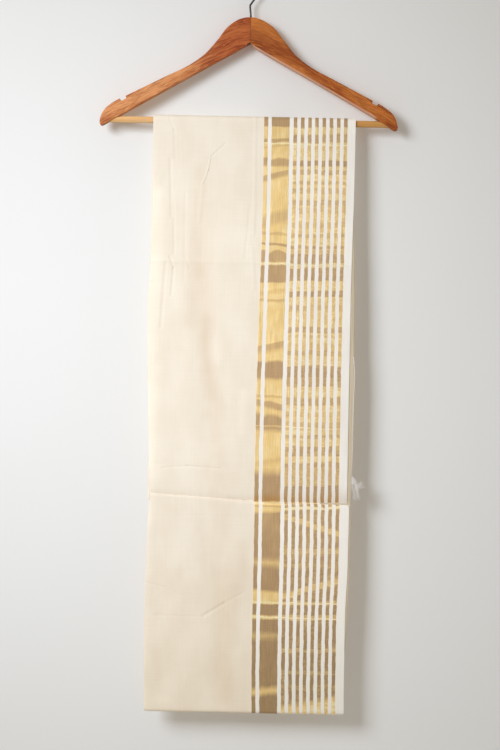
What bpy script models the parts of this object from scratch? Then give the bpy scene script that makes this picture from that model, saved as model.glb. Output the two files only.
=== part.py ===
"""Cotton saree folded over the bar of a wooden hanger.

The frame is in metres with +Z up. The origin is the inner top of the hook, where it hangs on a rail.
-Y is the front, +X is the side of the border. A depth is a distance below the centre of the bar.
"""

import math
from collections import namedtuple

import bmesh
import bpy
import numpy as np
from mathutils import Vector

# Fit
GAP = 0.0003

# Hanger
CROWN_TOP = 0.0596
APEX_DROP = 0.1066
ARM_THICKNESS = 0.014
ARM_EDGE_ROUND = 0.0022
NOTCH_RADIUS = 0.0048
NOTCH_X = 0.1894
NOTCH_DROP = 0.0764
CUTTER_REACH = 0.04
PARTING_BOX = (0.3, 0.1, 0.4)
BAR_DROP = 0.2159
BAR_RADIUS = 0.005
BAR_HALF_LENGTH = 0.214
WIRE_RADIUS = 0.0014
HOOK_RADIUS = 0.0185
HOOK_BEND_RADIUS = 0.009
HOOK_END_ANGLE = math.radians(200)
HOOK_STEM_X = -0.0013
STEM_IN_WOOD = 0.016

# Cloth
WALL = 0.001
OUTER_RADIUS = 0.0078
CROWN_FLAT = 0.0006
FRONT_DROP = 0.885
FRONT_FOLD_RADIUS = 0.004
BACK_DROP = 0.570
BACK_FOLD_RADIUS = 0.0018
BACK_RETURN_TOP = 0.5562
BACK_CUT_ENDS = 0.566
EDGE_BEND = 0.0007
LOOSE_DEPTHS = (0.02, 0.12)
LAYER_GROOVE = 0.0011
LAYER_CREST = (0.3, 0.7)
FOLDED_LAYERS = 4
SECOND_FOLD_THICKNESS = 0.0016
SECOND_FOLD_INNER_X = 0.118
SECOND_FOLD_ROOM_X = (0.105, 0.115)
SECOND_FOLD_ROOM_DEPTHS = (0.166, 0.205)
ROUND_SHARE = 0.3

FRONT = -1
BACK = 1

ArmPoint = namedtuple("ArmPoint", "x drop corner")
# The right half of the arms' outline, from the middle of the crown to the middle of the underside.
# The drop is measured down from the apex of the underside.
ARM_OUTLINE = [
    ArmPoint(0.0000, -0.0470, False),
    ArmPoint(0.0160, -0.0434, False),
    ArmPoint(0.0337, -0.0322, False),
    ArmPoint(0.0500, -0.0120, False),
    ArmPoint(0.0695, 0.0100, False),
    ArmPoint(0.0875, 0.0242, False),
    ArmPoint(0.1280, 0.0456, False),
    ArmPoint(0.1815, 0.0728, False),
    ArmPoint(0.2050, 0.0858, False),
    ArmPoint(0.2165, 0.0960, False),
    ArmPoint(0.2218, 0.1095, False),
    ArmPoint(0.2217, 0.1176, False),
    ArmPoint(0.2160, 0.1186, False),
    ArmPoint(0.2040, 0.1128, True),
    ArmPoint(0.0000, 0.0000, True),
]

Edges = namedtuple("Edges", "depth left right")
FRONT_EDGES = [
    Edges(0.000, -0.1425, 0.1603),
    Edges(0.118, -0.1410, 0.1597),
    Edges(0.213, -0.1420, 0.1580),
    Edges(0.268, -0.1452, 0.1575),
    Edges(0.417, -0.1422, 0.1574),
    Edges(0.507, -0.1385, 0.1575),
    Edges(0.566, -0.1362, 0.1578),
    Edges(0.578, -0.1375, 0.1612),
    Edges(0.656, -0.1400, 0.1613),
    Edges(0.746, -0.1410, 0.1590),
    Edges(0.885, -0.1390, 0.1597),
]
BACK_EDGES = [
    Edges(0.000, -0.1425, 0.1603),
    Edges(0.140, -0.1432, 0.1598),
    Edges(0.300, -0.1440, 0.1588),
    Edges(0.430, -0.1408, 0.1601),
    Edges(0.570, -0.1399, 0.1610),
]
SECOND_FOLD_EDGES = [
    Edges(0.222, SECOND_FOLD_INNER_X, 0.1585),
    Edges(0.238, SECOND_FOLD_INNER_X, 0.1628),
    Edges(0.297, SECOND_FOLD_INNER_X, 0.1645),
    Edges(0.387, SECOND_FOLD_INNER_X, 0.1663),
    Edges(0.507, SECOND_FOLD_INNER_X, 0.1643),
    Edges(0.566, SECOND_FOLD_INNER_X, 0.1628),
    Edges(0.596, SECOND_FOLD_INNER_X, 0.1644),
    Edges(0.686, SECOND_FOLD_INNER_X, 0.1629),
    Edges(0.740, SECOND_FOLD_INNER_X, 0.1590),
    Edges(0.800, SECOND_FOLD_INNER_X, 0.1580),
]

Stack = namedtuple("Stack", "depth face thickness")
# How far the outer face lies from the bar's middle plane, and how thick the folded stack is there.
FRONT_STACK = [
    Stack(0.000, 0.0078, 0.0038),
    Stack(0.030, 0.0084, 0.0038),
    Stack(0.120, 0.0092, 0.0050),
    Stack(0.205, 0.0095, 0.0062),
    Stack(0.400, 0.0101, 0.0068),
    Stack(0.700, 0.0104, 0.0074),
    Stack(0.881, 0.0100, 0.0080),
]
BACK_STACK = [
    Stack(0.000, 0.0078, 0.0038),
    Stack(0.030, 0.0083, 0.0038),
    Stack(0.150, 0.0091, 0.0050),
    Stack(0.350, 0.0094, 0.0062),
    Stack(0.570, 0.0098, 0.0068),
]

Crease = namedtuple("Crease", "x_start depth_start x_end depth_end half_width push")
# Creases bend the whole stack. A push is in +Y: inwards on the front, outwards on the back.
FRONT_CREASES = [
    Crease(-0.150, 0.212, 0.170, 0.212, 0.006, -0.0006),
    Crease(-0.150, 0.558, 0.010, 0.567, 0.007, 0.0013),
    Crease(0.010, 0.567, 0.170, 0.570, 0.007, 0.0013),
    Crease(-0.068, 0.280, -0.060, 0.430, 0.030, 0.0009),
    Crease(-0.050, 0.150, -0.056, 0.195, 0.022, 0.0006),
    Crease(-0.105, 0.640, -0.060, 0.800, 0.035, 0.0008),
    Crease(0.075, 0.300, 0.085, 0.500, 0.035, -0.0008),
]
BACK_CREASES = [
    Crease(-0.150, 0.142, 0.170, 0.146, 0.006, -0.0009),
    Crease(-0.150, 0.500, 0.170, 0.497, 0.006, 0.0007),
    Crease(-0.070, 0.210, -0.045, 0.400, 0.032, -0.0008),
    Crease(0.060, 0.230, 0.070, 0.440, 0.032, 0.0007),
]

FRONT_ROWS = [0.005, 0.030, 0.075, 0.120, 0.165, 0.205, 0.212, 0.219, 0.265, 0.320, 0.375, 0.430,
              0.485, 0.535, 0.557, 0.565, 0.573, 0.600, 0.650, 0.705, 0.760, 0.820, 0.860, 0.881]
BACK_ROWS = [0.005, 0.030, 0.085, 0.137, 0.144, 0.151, 0.205, 0.260, 0.320, 0.380, 0.440, 0.491,
             0.499, 0.507, 0.536, BACK_RETURN_TOP]
SECOND_FOLD_ROWS = [0.222, 0.238, 0.265, 0.320, 0.375, 0.430, 0.485, 0.535, 0.557, 0.565, 0.573,
                    0.600, 0.650, 0.705, 0.760, 0.800]
ARC_STEPS = 4
FOLD_STEPS = 6
COLUMN_FRACTIONS = [0.13, 0.25, 0.37, 0.50, 0.62, 0.74, 0.87, 1.0]
LEFT_COLUMN_INSETS = [0.0, 0.0012, 0.0040]

Station = namedtuple("Station", "y z depth normal_y normal_z fade")


def clear_scene():
    """Remove whatever the scene holds."""
    for obj in list(bpy.data.objects):
        bpy.data.objects.remove(obj, do_unlink=True)


def new_collection(name, helper=False):
    """Make a collection, hidden from renders when it holds cutters."""
    collection = bpy.data.collections.new(name)
    bpy.context.scene.collection.children.link(collection)
    collection.hide_render = helper
    return collection


def new_material(name, colour, roughness, metallic=0.0):
    """Make a Principled material."""
    material = bpy.data.materials.new(name)
    material.use_nodes = True
    shader = material.node_tree.nodes["Principled BSDF"]
    shader.inputs["Base Color"].default_value = (*colour, 1.0)
    shader.inputs["Roughness"].default_value = roughness
    shader.inputs["Metallic"].default_value = metallic
    material.diffuse_color = (*colour, 1.0)
    return material


def add_object(name, mesh, collection, material=None):
    """Put a mesh in a collection as a named object with its material."""
    obj = bpy.data.objects.new(name, mesh)
    collection.objects.link(obj)
    if material:
        mesh.materials.clear()
        mesh.materials.append(material)
    return obj


def move_to(obj, collection):
    """Move an object into one collection."""
    for other in list(obj.users_collection):
        other.objects.unlink(obj)
    collection.objects.link(obj)


def add_cylinder(name, radius, length, location, axis, collection, sides=24):
    """Add a cylinder along the X, Y or Z axis."""
    turns = {"X": (0, math.pi / 2, 0), "Y": (math.pi / 2, 0, 0), "Z": (0, 0, 0)}
    bpy.ops.mesh.primitive_cylinder_add(
        vertices=sides, radius=radius, depth=length, location=location, rotation=turns[axis]
    )
    obj = bpy.context.object
    obj.name = name
    move_to(obj, collection)
    return obj


def mark_as_cutter(obj):
    """Keep a cutter out of renders and draw it as wires."""
    obj.hide_render = True
    obj.display_type = "WIRE"
    return obj


def cut(obj, cutter):
    """Cut one object with another by a Boolean modifier."""
    modifier = obj.modifiers.new("cut_" + cutter.name, "BOOLEAN")
    modifier.operation = "DIFFERENCE"
    modifier.object = cutter


def mesh_of_curve(obj):
    """Turn a curve object into a welded mesh and remove the curve."""
    graph = bpy.context.evaluated_depsgraph_get()
    mesh = bpy.data.meshes.new_from_object(obj.evaluated_get(graph))
    turned = bmesh.new()
    turned.from_mesh(mesh)
    bmesh.ops.remove_doubles(turned, verts=turned.verts, dist=1e-5)
    turned.to_mesh(mesh)
    turned.free()
    mesh.transform(obj.matrix_world)
    bpy.data.objects.remove(obj)
    return mesh


def smooth(value, start, end):
    """Rise smoothly from 0 at start to 1 at end."""
    t = min(max((value - start) / (end - start), 0.0), 1.0)
    return t * t * (3 - 2 * t)


def read_table(table, depth, column):
    """Read one column of a table at a depth, between its rows."""
    depths = [row.depth for row in table]
    return float(np.interp(depth, depths, [getattr(row, column) for row in table]))


def crease_push(creases, x, depth):
    """Add up how far the creases push the stack in Y at one place."""
    push = 0.0
    for crease in creases:
        start = Vector((crease.x_start, crease.depth_start))
        along = Vector((crease.x_end, crease.depth_end)) - start
        place = Vector((x, depth)) - start
        share = min(max(place.dot(along) / along.length_squared, 0.0), 1.0)
        away = (place - share * along).length / crease.half_width
        push += crease.push * math.exp(-away * away)
    return push


def loosening(depth):
    """Tell how far the folds have come loose below the bar, from 0 to 1."""
    return smooth(depth, *LOOSE_DEPTHS)


def edge_bend(from_left, fade):
    """Tell how far the folded left edge bends inwards, at a distance from it."""
    return EDGE_BEND * fade * (1 - smooth(from_left, 0.0, LEFT_COLUMN_INSETS[-1]))


def drop_stations(side, stack, rows, drop, fold_radius, inner_rows, inner_thickness):
    """List the outer layer's line in the YZ plane: over the bar, down, round the fold and up inside."""
    stations = [Station(side * GAP / 2, OUTER_RADIUS, 0.0, 0.0, 1.0, 0.0)]
    stations.append(Station(side * CROWN_FLAT, OUTER_RADIUS, 0.0, 0.0, 1.0, 0.0))
    for step in range(1, ARC_STEPS + 1):
        angle = math.radians(90) * step / ARC_STEPS
        y = side * OUTER_RADIUS * math.sin(angle)
        z = OUTER_RADIUS * math.cos(angle)
        stations.append(Station(y, z, 0.0, side * math.sin(angle), math.cos(angle), 0.0))
    for depth in rows:
        face = read_table(stack, depth, "face")
        stations.append(Station(side * face, -depth, depth, side, 0.0, loosening(depth)))
    fold_depth = drop - fold_radius
    face = read_table(stack, fold_depth, "face")
    for step in range(FOLD_STEPS + 1):
        angle = math.pi * step / FOLD_STEPS
        y = face - fold_radius + fold_radius * math.cos(angle)
        z = -fold_depth - fold_radius * math.sin(angle)
        normal = (side * math.cos(angle), -math.sin(angle))
        stations.append(Station(side * y, z, fold_depth, *normal, 1.0))
    for depth in inner_rows:
        y = read_table(stack, depth, "face") - inner_thickness(depth)
        stations.append(Station(side * y, -depth, depth, -side, 0.0, loosening(depth)))
    return stations


def add_outer_layer(name, side, edges, creases, stations, collection, material):
    """Make an outer layer as one open sheet across the drop, thickened inwards to the wall."""
    insets = [(inset, 0.0) for inset in LEFT_COLUMN_INSETS]
    columns = insets + [(0.0, fraction) for fraction in COLUMN_FRACTIONS]
    if side == FRONT:
        columns.reverse()
    mesh = bpy.data.meshes.new(name)
    sheet = bmesh.new()
    bmesh.ops.create_grid(sheet, x_segments=len(columns) - 1, y_segments=len(stations) - 1, size=1)
    for vertex in sheet.verts:
        column = round((vertex.co.x + 1) / 2 * (len(columns) - 1))
        row = round((1 - vertex.co.y) / 2 * (len(stations) - 1))
        inset, fraction = columns[column]
        place = stations[row]
        left = read_table(edges, place.depth, "left")
        right = read_table(edges, place.depth, "right")
        x = left + inset + fraction * (right - left - inset)
        bend = edge_bend(x - left, place.fade)
        y = place.y - bend * place.normal_y + place.fade * crease_push(creases, x, place.depth)
        vertex.co = (x, y, place.z - bend * place.normal_z - BAR_DROP)
    bmesh.ops.reverse_faces(sheet, faces=sheet.faces)
    sheet.to_mesh(mesh)
    sheet.free()
    obj = add_object(name, mesh, collection, material)
    wall = obj.modifiers.new("wall", "SOLIDIFY")
    wall.thickness = WALL
    wall.offset = -1
    wall.use_even_offset = True
    mesh.shade_smooth()
    return obj


def layered_edge(near, far, edge, outwards, layers):
    """List the points of an edge with a rounded fold for each layer, from near to far across the stack."""
    points = []
    pitch = (far - near) / layers
    for layer in range(layers):
        start = near + layer * pitch
        inset = LAYER_GROOVE if layer else LAYER_GROOVE / 2
        points.append((edge - outwards * inset, start))
        points += [(edge, start + pitch * share) for share in LAYER_CREST]
    points.append((edge - outwards * LAYER_GROOVE / 2, far))
    return points


def loft(name, rings, collection, material):
    """Join rings of points into one closed solid with capped ends."""
    mesh = bpy.data.meshes.new(name)
    solid = bmesh.new()
    rows = [[solid.verts.new(point) for point in ring] for ring in rings]
    count = len(rows[0])
    for upper, lower in zip(rows, rows[1:]):
        for i in range(count):
            j = (i + 1) % count
            solid.faces.new((upper[i], upper[j], lower[j], lower[i]))
    solid.faces.new(rows[0])
    solid.faces.new(rows[-1])
    bmesh.ops.recalc_face_normals(solid, faces=solid.faces)
    solid.to_mesh(mesh)
    solid.free()
    return add_object(name, mesh, collection, material)


def stack_ring(station, side, edges, creases, near, far, layers):
    """Place one section of the hidden layers, from near to far below the outer face."""
    left = read_table(edges, station.depth, "left") + LEFT_COLUMN_INSETS[1]
    right = read_table(edges, station.depth, "right") - LEFT_COLUMN_INSETS[1]
    face = [left + fraction * (right - left) for fraction in COLUMN_FRACTIONS[:-1]]
    section = [(x, near(x, station.depth)) for x in face]
    section += layered_edge(near(right, station.depth), far(station.depth), right, 1, layers)
    section += [(x, far(station.depth)) for x in reversed(face)]
    bend = edge_bend(0.0, station.fade)
    left_near = near(left, station.depth) + bend
    section += reversed(layered_edge(left_near, far(station.depth) - bend, left, -1, layers))
    ring = []
    for x, inwards in section:
        push = station.fade * crease_push(creases, x, station.depth)
        y = station.y - inwards * station.normal_y + push
        ring.append((x, y, station.z - inwards * station.normal_z - BAR_DROP))
    return ring


def add_front_layers(collection, material):
    """The hidden layers of the front drop, with room for the second fold at the right."""
    stations = drop_stations(
        FRONT, FRONT_STACK, FRONT_ROWS, FRONT_DROP, FRONT_FOLD_RADIUS, [], None
    )[: ARC_STEPS + 2 + len(FRONT_ROWS)]

    def near(x, depth):
        room = smooth(x, *SECOND_FOLD_ROOM_X) * smooth(depth, *SECOND_FOLD_ROOM_DEPTHS)
        return WALL + GAP + room * (SECOND_FOLD_THICKNESS + GAP)

    def far(depth):
        return read_table(FRONT_STACK, depth, "thickness") - WALL - GAP

    rings = [
        stack_ring(station, FRONT, FRONT_EDGES, FRONT_CREASES, near, far, FOLDED_LAYERS)
        for station in stations
    ]
    return loft("saree_front_layers", rings, collection, material)


def add_back_layers(collection, material):
    """The hidden layers of the back drop, down to the cut ends beside the outer fold."""
    step_depths = (BACK_RETURN_TOP - 0.020, BACK_RETURN_TOP - 0.004)
    rows = BACK_ROWS[:-1] + [step_depths[1], BACK_RETURN_TOP + 0.004, BACK_CUT_ENDS]
    stations = drop_stations(BACK, BACK_STACK, rows, BACK_DROP, BACK_FOLD_RADIUS, [], None)
    stations = stations[: ARC_STEPS + 2 + len(rows)]

    def near(x, depth):
        beside_fold = smooth(depth, *step_depths)
        return WALL + GAP + beside_fold * (2 * BACK_FOLD_RADIUS - WALL)

    def far(depth):
        outer_walls = (WALL + GAP) * (1 - loosening(depth))
        return read_table(BACK_STACK, depth, "thickness") - outer_walls

    rings = [
        stack_ring(station, BACK, BACK_EDGES, BACK_CREASES, near, far, FOLDED_LAYERS)
        for station in stations
    ]
    return loft("saree_back_layers", rings, collection, material)


def add_second_fold(collection, material):
    """The folded edge of the second layer, a strip just behind the outer one."""
    rings = []
    near = WALL + GAP
    far = near + SECOND_FOLD_THICKNESS - GAP
    for depth in SECOND_FOLD_ROWS:
        right = read_table(SECOND_FOLD_EDGES, depth, "right")
        left = SECOND_FOLD_INNER_X
        middle = (left + right) / 2
        radius = (far - near) / 2
        section = [(left, near), (middle, near), (right - radius, near)]
        section += [(right - radius * ROUND_SHARE, near + radius * ROUND_SHARE)]
        section += [(right, near + radius)]
        section += [(right - radius * ROUND_SHARE, far - radius * ROUND_SHARE)]
        section += [(right - radius, far)]
        section += [(middle, far), (left, far)]
        face = read_table(FRONT_STACK, depth, "face")
        ring = []
        for x, inwards in section:
            y = inwards - face + crease_push(FRONT_CREASES, x, depth)
            ring.append((x, y, -depth - BAR_DROP))
        rings.append(ring)
    return loft("saree_second_fold", rings, collection, material)


def hanger_outline():
    """List the whole outline of the two arms, as points with a mark for corners."""
    right = [(p.x, -p.drop - APEX_DROP, p.corner) for p in ARM_OUTLINE]
    left = [(-x, z, corner) for x, z, corner in reversed(right[1:-1])]
    return right + left


def add_arms(collection, cutters, material):
    """The arms: one rounded board, parted in the middle, notched, and bored for bar and hook."""
    curve = bpy.data.curves.new("hanger_board", "CURVE")
    curve.dimensions = "2D"
    curve.fill_mode = "BOTH"
    curve.extrude = ARM_THICKNESS / 2 - ARM_EDGE_ROUND
    curve.bevel_depth = ARM_EDGE_ROUND
    curve.bevel_resolution = 1
    curve.offset = -ARM_EDGE_ROUND
    curve.resolution_u = 4
    points = hanger_outline()
    spline = curve.splines.new("BEZIER")
    spline.bezier_points.add(len(points) - 1)
    spline.use_cyclic_u = True
    for point, (x, z, corner) in zip(spline.bezier_points, points):
        point.co = (x, z, 0)
        kind = "VECTOR" if corner else "AUTO"
        point.handle_left_type = kind
        point.handle_right_type = kind
    board = bpy.data.objects.new("hanger_board", curve)
    collection.objects.link(board)
    board.rotation_euler = (math.pi / 2, 0, 0)
    bpy.context.view_layer.update()
    mesh = mesh_of_curve(board)
    mesh.shade_smooth()
    mesh.set_sharp_from_angle(angle=math.radians(40))

    bar_bore = mark_as_cutter(
        add_cylinder(
            "cutter_bar_bore",
            BAR_RADIUS + GAP,
            2 * (BAR_HALF_LENGTH + GAP),
            (0, 0, -BAR_DROP),
            "X",
            cutters,
        )
    )
    hook_bore = mark_as_cutter(
        add_cylinder(
            "cutter_hook_bore",
            WIRE_RADIUS + GAP,
            2 * (STEM_IN_WOOD + GAP),
            (0, 0, -CROWN_TOP),
            "Z",
            cutters,
            16,
        )
    )
    for name, side in (("left", -1), ("right", 1)):
        arm = add_object("hanger_arm_" + name, mesh.copy(), collection, material)
        beside = -side * (PARTING_BOX[0] - GAP) / 2
        bpy.ops.mesh.primitive_cube_add(size=1, location=(beside, 0, -APEX_DROP))
        parting = mark_as_cutter(bpy.context.object)
        parting.name = "cutter_parting_" + name
        parting.scale = PARTING_BOX
        move_to(parting, cutters)
        notch = mark_as_cutter(
            add_cylinder(
                "cutter_notch_" + name,
                NOTCH_RADIUS,
                CUTTER_REACH,
                (side * NOTCH_X, 0, -NOTCH_DROP - APEX_DROP),
                "Y",
                cutters,
            )
        )
        for cutter in (parting, notch, bar_bore, hook_bore):
            cut(arm, cutter)


def add_bar(collection, material):
    """The round bar between the arms."""
    bar = add_cylinder(
        "hanger_bar", BAR_RADIUS, 2 * BAR_HALF_LENGTH, (0, 0, -BAR_DROP), "X", collection
    )
    bar.data.materials.append(material)
    bar.data.shade_smooth()
    bar.data.set_sharp_from_angle(angle=math.radians(40))
    return bar


def hook_points():
    """List the wire's centreline: stem, bend to the right, and the arc over the rail."""
    centre = Vector((0, WIRE_RADIUS - HOOK_RADIUS))
    reach = HOOK_BEND_RADIUS + HOOK_STEM_X
    rise = math.sqrt((HOOK_RADIUS + HOOK_BEND_RADIUS) ** 2 - reach**2)
    bend_centre = Vector((reach, centre.y - rise))
    turn = math.atan2(rise, -reach)
    points = [Vector((0, -CROWN_TOP - STEM_IN_WOOD)), Vector((0, -CROWN_TOP))]
    for step in range(1, 4):
        share = step / 4
        z = -CROWN_TOP + share * (bend_centre.y + CROWN_TOP)
        points.append(Vector((HOOK_STEM_X * smooth(share, 0, 1), z)))
    for step in range(9):
        angle = math.pi - (math.pi - turn) * step / 8
        points.append(bend_centre + HOOK_BEND_RADIUS * Vector((math.cos(angle), math.sin(angle))))
    start = turn - math.pi
    for step in range(1, 29):
        angle = start + (HOOK_END_ANGLE - start) * step / 28
        points.append(centre + HOOK_RADIUS * Vector((math.cos(angle), math.sin(angle))))
    return points


def add_hook(collection, material):
    """The wire hook as a round bevelled curve."""
    curve = bpy.data.curves.new("hanger_hook", "CURVE")
    curve.dimensions = "3D"
    curve.bevel_depth = WIRE_RADIUS
    curve.bevel_resolution = 2
    curve.use_fill_caps = True
    points = hook_points()
    spline = curve.splines.new("POLY")
    spline.points.add(len(points) - 1)
    for point, place in zip(spline.points, points):
        point.co = (place.x, 0, place.y, 1)
    hook = bpy.data.objects.new("hanger_hook", curve)
    collection.objects.link(hook)
    curve.materials.append(material)
    return hook


def build():
    """Build the saree and its hanger."""
    clear_scene()
    parts = new_collection("cotton_saree_on_hanger")
    cutters = new_collection("cutters", helper=True)
    cream = new_material("cream_cotton", (0.90, 0.84, 0.70), 0.85)
    cream_inner = new_material("cream_cotton_layers", (0.84, 0.77, 0.62), 0.85)
    wood = new_material("varnished_wood", (0.42, 0.15, 0.06), 0.4)
    pale_wood = new_material("pale_wood", (0.75, 0.45, 0.20), 0.45)
    steel = new_material("dark_steel", (0.10, 0.10, 0.11), 0.35, 1.0)

    front_stations = drop_stations(
        FRONT, FRONT_STACK, FRONT_ROWS[:-1], FRONT_DROP, FRONT_FOLD_RADIUS,
        list(reversed(FRONT_ROWS[1:-1])), lambda depth: read_table(FRONT_STACK, depth, "thickness"),
    )
    add_outer_layer(
        "saree_front_outer", FRONT, FRONT_EDGES, FRONT_CREASES, front_stations, parts, cream
    )
    back_stations = drop_stations(
        BACK, BACK_STACK, BACK_ROWS, BACK_DROP, BACK_FOLD_RADIUS,
        [BACK_RETURN_TOP], lambda depth: 2 * BACK_FOLD_RADIUS,
    )
    add_outer_layer(
        "saree_back_outer", BACK, BACK_EDGES, BACK_CREASES, back_stations, parts, cream
    )
    add_front_layers(parts, cream_inner)
    add_second_fold(parts, cream)
    add_back_layers(parts, cream_inner)
    add_arms(parts, cutters, wood)
    add_bar(parts, pale_wood)
    add_hook(parts, steel)


build()
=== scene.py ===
import math

import bmesh
import bpy
import numpy as np
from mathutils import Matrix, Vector


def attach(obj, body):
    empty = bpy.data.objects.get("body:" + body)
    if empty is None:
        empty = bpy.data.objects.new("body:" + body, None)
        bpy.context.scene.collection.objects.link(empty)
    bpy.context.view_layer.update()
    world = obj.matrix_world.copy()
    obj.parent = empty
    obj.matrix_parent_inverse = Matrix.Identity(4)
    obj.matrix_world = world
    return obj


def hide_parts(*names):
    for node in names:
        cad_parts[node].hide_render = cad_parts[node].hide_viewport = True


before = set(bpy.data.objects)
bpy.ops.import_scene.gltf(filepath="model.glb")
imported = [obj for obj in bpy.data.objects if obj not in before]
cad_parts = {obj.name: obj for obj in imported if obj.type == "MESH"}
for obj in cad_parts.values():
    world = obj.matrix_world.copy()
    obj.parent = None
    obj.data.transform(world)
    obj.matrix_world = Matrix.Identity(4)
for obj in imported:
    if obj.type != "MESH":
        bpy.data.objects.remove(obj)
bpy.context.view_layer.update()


# The hanger's two arms: hardwood boards, shaped alike, glued end to end at the middle and sanded round.
# Each has a small notch for a strap. The left one is a lighter, more orange board than the right one.
class Shade:
    """A value or colour in a material that is being written: its operators add the nodes."""

    def __init__(self, tree, socket=None):
        self.tree = tree
        self.socket = socket

    def node(self, kind, settings=(), sockets=(), out=0):
        """Add one node: its settings first, then the values or links of its sockets."""
        made = self.tree.nodes.new(kind)
        for name, value in dict(settings).items():
            setattr(made, name, value)
        for name, value in dict(sockets).items():
            if isinstance(value, Shade):
                self.tree.links.new(value.socket, made.inputs[name])
            else:
                made.inputs[name].default_value = value
        return Shade(self.tree, made.outputs[out])

    def maths(self, operation, first, second=0.0):
        """One Math node."""
        return self.node("ShaderNodeMath", {"operation": operation}, {0: first, 1: second})

    def __add__(self, other):
        return self.maths("ADD", self, other)

    def __radd__(self, other):
        return self.maths("ADD", other, self)

    def __sub__(self, other):
        return self.maths("SUBTRACT", self, other)

    def __rsub__(self, other):
        return self.maths("SUBTRACT", other, self)

    def __mul__(self, other):
        return self.maths("MULTIPLY", self, other)

    def __rmul__(self, other):
        return self.maths("MULTIPLY", other, self)

    def __truediv__(self, other):
        return self.maths("DIVIDE", self, other)

    def max(self, other):
        return self.maths("MAXIMUM", self, other)

    def min(self, other):
        return self.maths("MINIMUM", self, other)

    def sine(self):
        return self.maths("SINE", self)

    def size(self):
        return self.maths("ABSOLUTE", self)

    def part(self):
        """The part after the whole number."""
        return self.maths("FRACT", self)

    def whole(self):
        return self.maths("FLOOR", self)

    def root(self):
        return self.maths("SQRT", self)

    def rise(self, low, high):
        """0 below low and 1 above high, or the other way round, with a smooth rise between."""
        sockets = {"Value": self, "From Min": low, "From Max": high}
        return self.node("ShaderNodeMapRange", {"interpolation_type": "SMOOTHSTEP"}, sockets)

    def between(self, low, high, soft):
        """1 from low to high and 0 outside, with edges that are soft wide."""
        return self.rise(low - soft, low + soft) * self.rise(high + soft, high - soft)

    def hump(self, middle, half_width):
        """A bell of height 1: e to the power of minus the square of the distance over the half width."""
        away = (self - middle) / half_width
        return self.maths("POWER", math.e, 0 - away * away)

    def place(self):
        """The place on the object, in metres: x, y and z."""
        return self.node("ShaderNodeTexCoord", (), (), 3).axes()

    def cloth_place(self):
        """The place on the cloth: across it and along it."""
        return self.node("ShaderNodeUVMap", {"uv_map": "weave"}).axes()[:2]

    def axes(self):
        """A vector's three values."""
        split = self.node("ShaderNodeSeparateXYZ", (), {0: self}).socket.node
        return [Shade(self.tree, split.outputs[i]) for i in range(3)]

    def point(self, x, y, z=0.0):
        """A vector of three values."""
        return self.node("ShaderNodeCombineXYZ", (), {0: x, 1: y, 2: z})

    def noise(self, x, y, z=0.0, detail=2.0, rough=0.5):
        """Smooth noise, near 0 to 1, at a point whose axes are already scaled."""
        sockets = {"Vector": self.point(x, y, z), "Scale": 1.0, "Detail": detail, "Roughness": rough}
        return self.node("ShaderNodeTexNoise", (), sockets)

    def blend(self, share, first, second, how="MIX"):
        """The first colour at share 0, and at 1 the second, or with MULTIPLY the two multiplied."""
        settings = {"data_type": "RGBA", "clamp_factor": True, "blend_type": how}
        return self.node("ShaderNodeMix", settings, {0: share, 6: first, 7: second}, 2)

    def scaled(self, value, times, plus, held=False):
        """A value times another, plus a third, and held between 0 and 1 if asked."""
        settings = {"operation": "MULTIPLY_ADD", "use_clamp": held}
        return self.node("ShaderNodeMath", settings, {0: value, 1: times, 2: plus})

    def dim(self, colour, light):
        """A colour times a value."""
        return self.node("ShaderNodeVectorMath", {"operation": "SCALE"}, {0: colour, 3: light})


def new_finish(name, **constants):
    """Start a material: constants go on the shader's own sockets. Returns it and a Shade to write with."""
    material = bpy.data.materials.new(name)
    material.use_nodes = True
    shader = material.node_tree.nodes["Principled BSDF"]
    for socket, value in constants.items():
        shader.inputs[socket.replace("_", " ")].default_value = value
    return material, Shade(material.node_tree)


def finish_with(material, height=None, **varying):
    """Link what varies over the surface to the shader, and a height in metres to its normal."""
    tree = material.node_tree
    shader = tree.nodes["Principled BSDF"]
    for socket, value in varying.items():
        tree.links.new(value.socket, shader.inputs[socket.replace("_", " ")])
    if height is not None:
        bump = height.node("ShaderNodeBump", (), {"Height": height, "Strength": 1.0, "Distance": 1.0})
        tree.links.new(bump.socket, shader.inputs["Normal"])


def cubic_line(places, values, slopes, at):
    """A cubic between each two places, with the values and the slopes given there: along the last axis."""
    cell = np.clip(np.searchsorted(places, at, side="right") - 1, 0, len(places) - 2)
    width = places[cell + 1] - places[cell]
    t = np.clip((at - places[cell]) / width, 0.0, 1.0)
    line = values[..., cell] * (1 + 2 * t) * (1 - t) ** 2 + values[..., cell + 1] * t * t * (3 - 2 * t)
    return line + width * (slopes[..., cell] * t * (1 - t) ** 2 - slopes[..., cell + 1] * t * t * (1 - t))


def smooth_line(places, values, at):
    """A cubic line through points. Its slope at a point is the harmonic mean of the slopes on both sides,
    or 0 where they differ in sign, so it never swings past a point."""
    places = np.asarray(places, float)
    values = np.asarray(values, float)
    slopes = np.diff(values) / np.diff(places)
    before, after = slopes[:-1], slopes[1:]
    agree = before * after > 0
    total = np.where(agree, before + after, 1.0)
    inner = np.where(agree, 2 * before * after / total, 0.0)
    slope = np.concatenate((slopes[:1], inner, slopes[-1:]))
    return cubic_line(places, values, slope, at)


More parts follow.
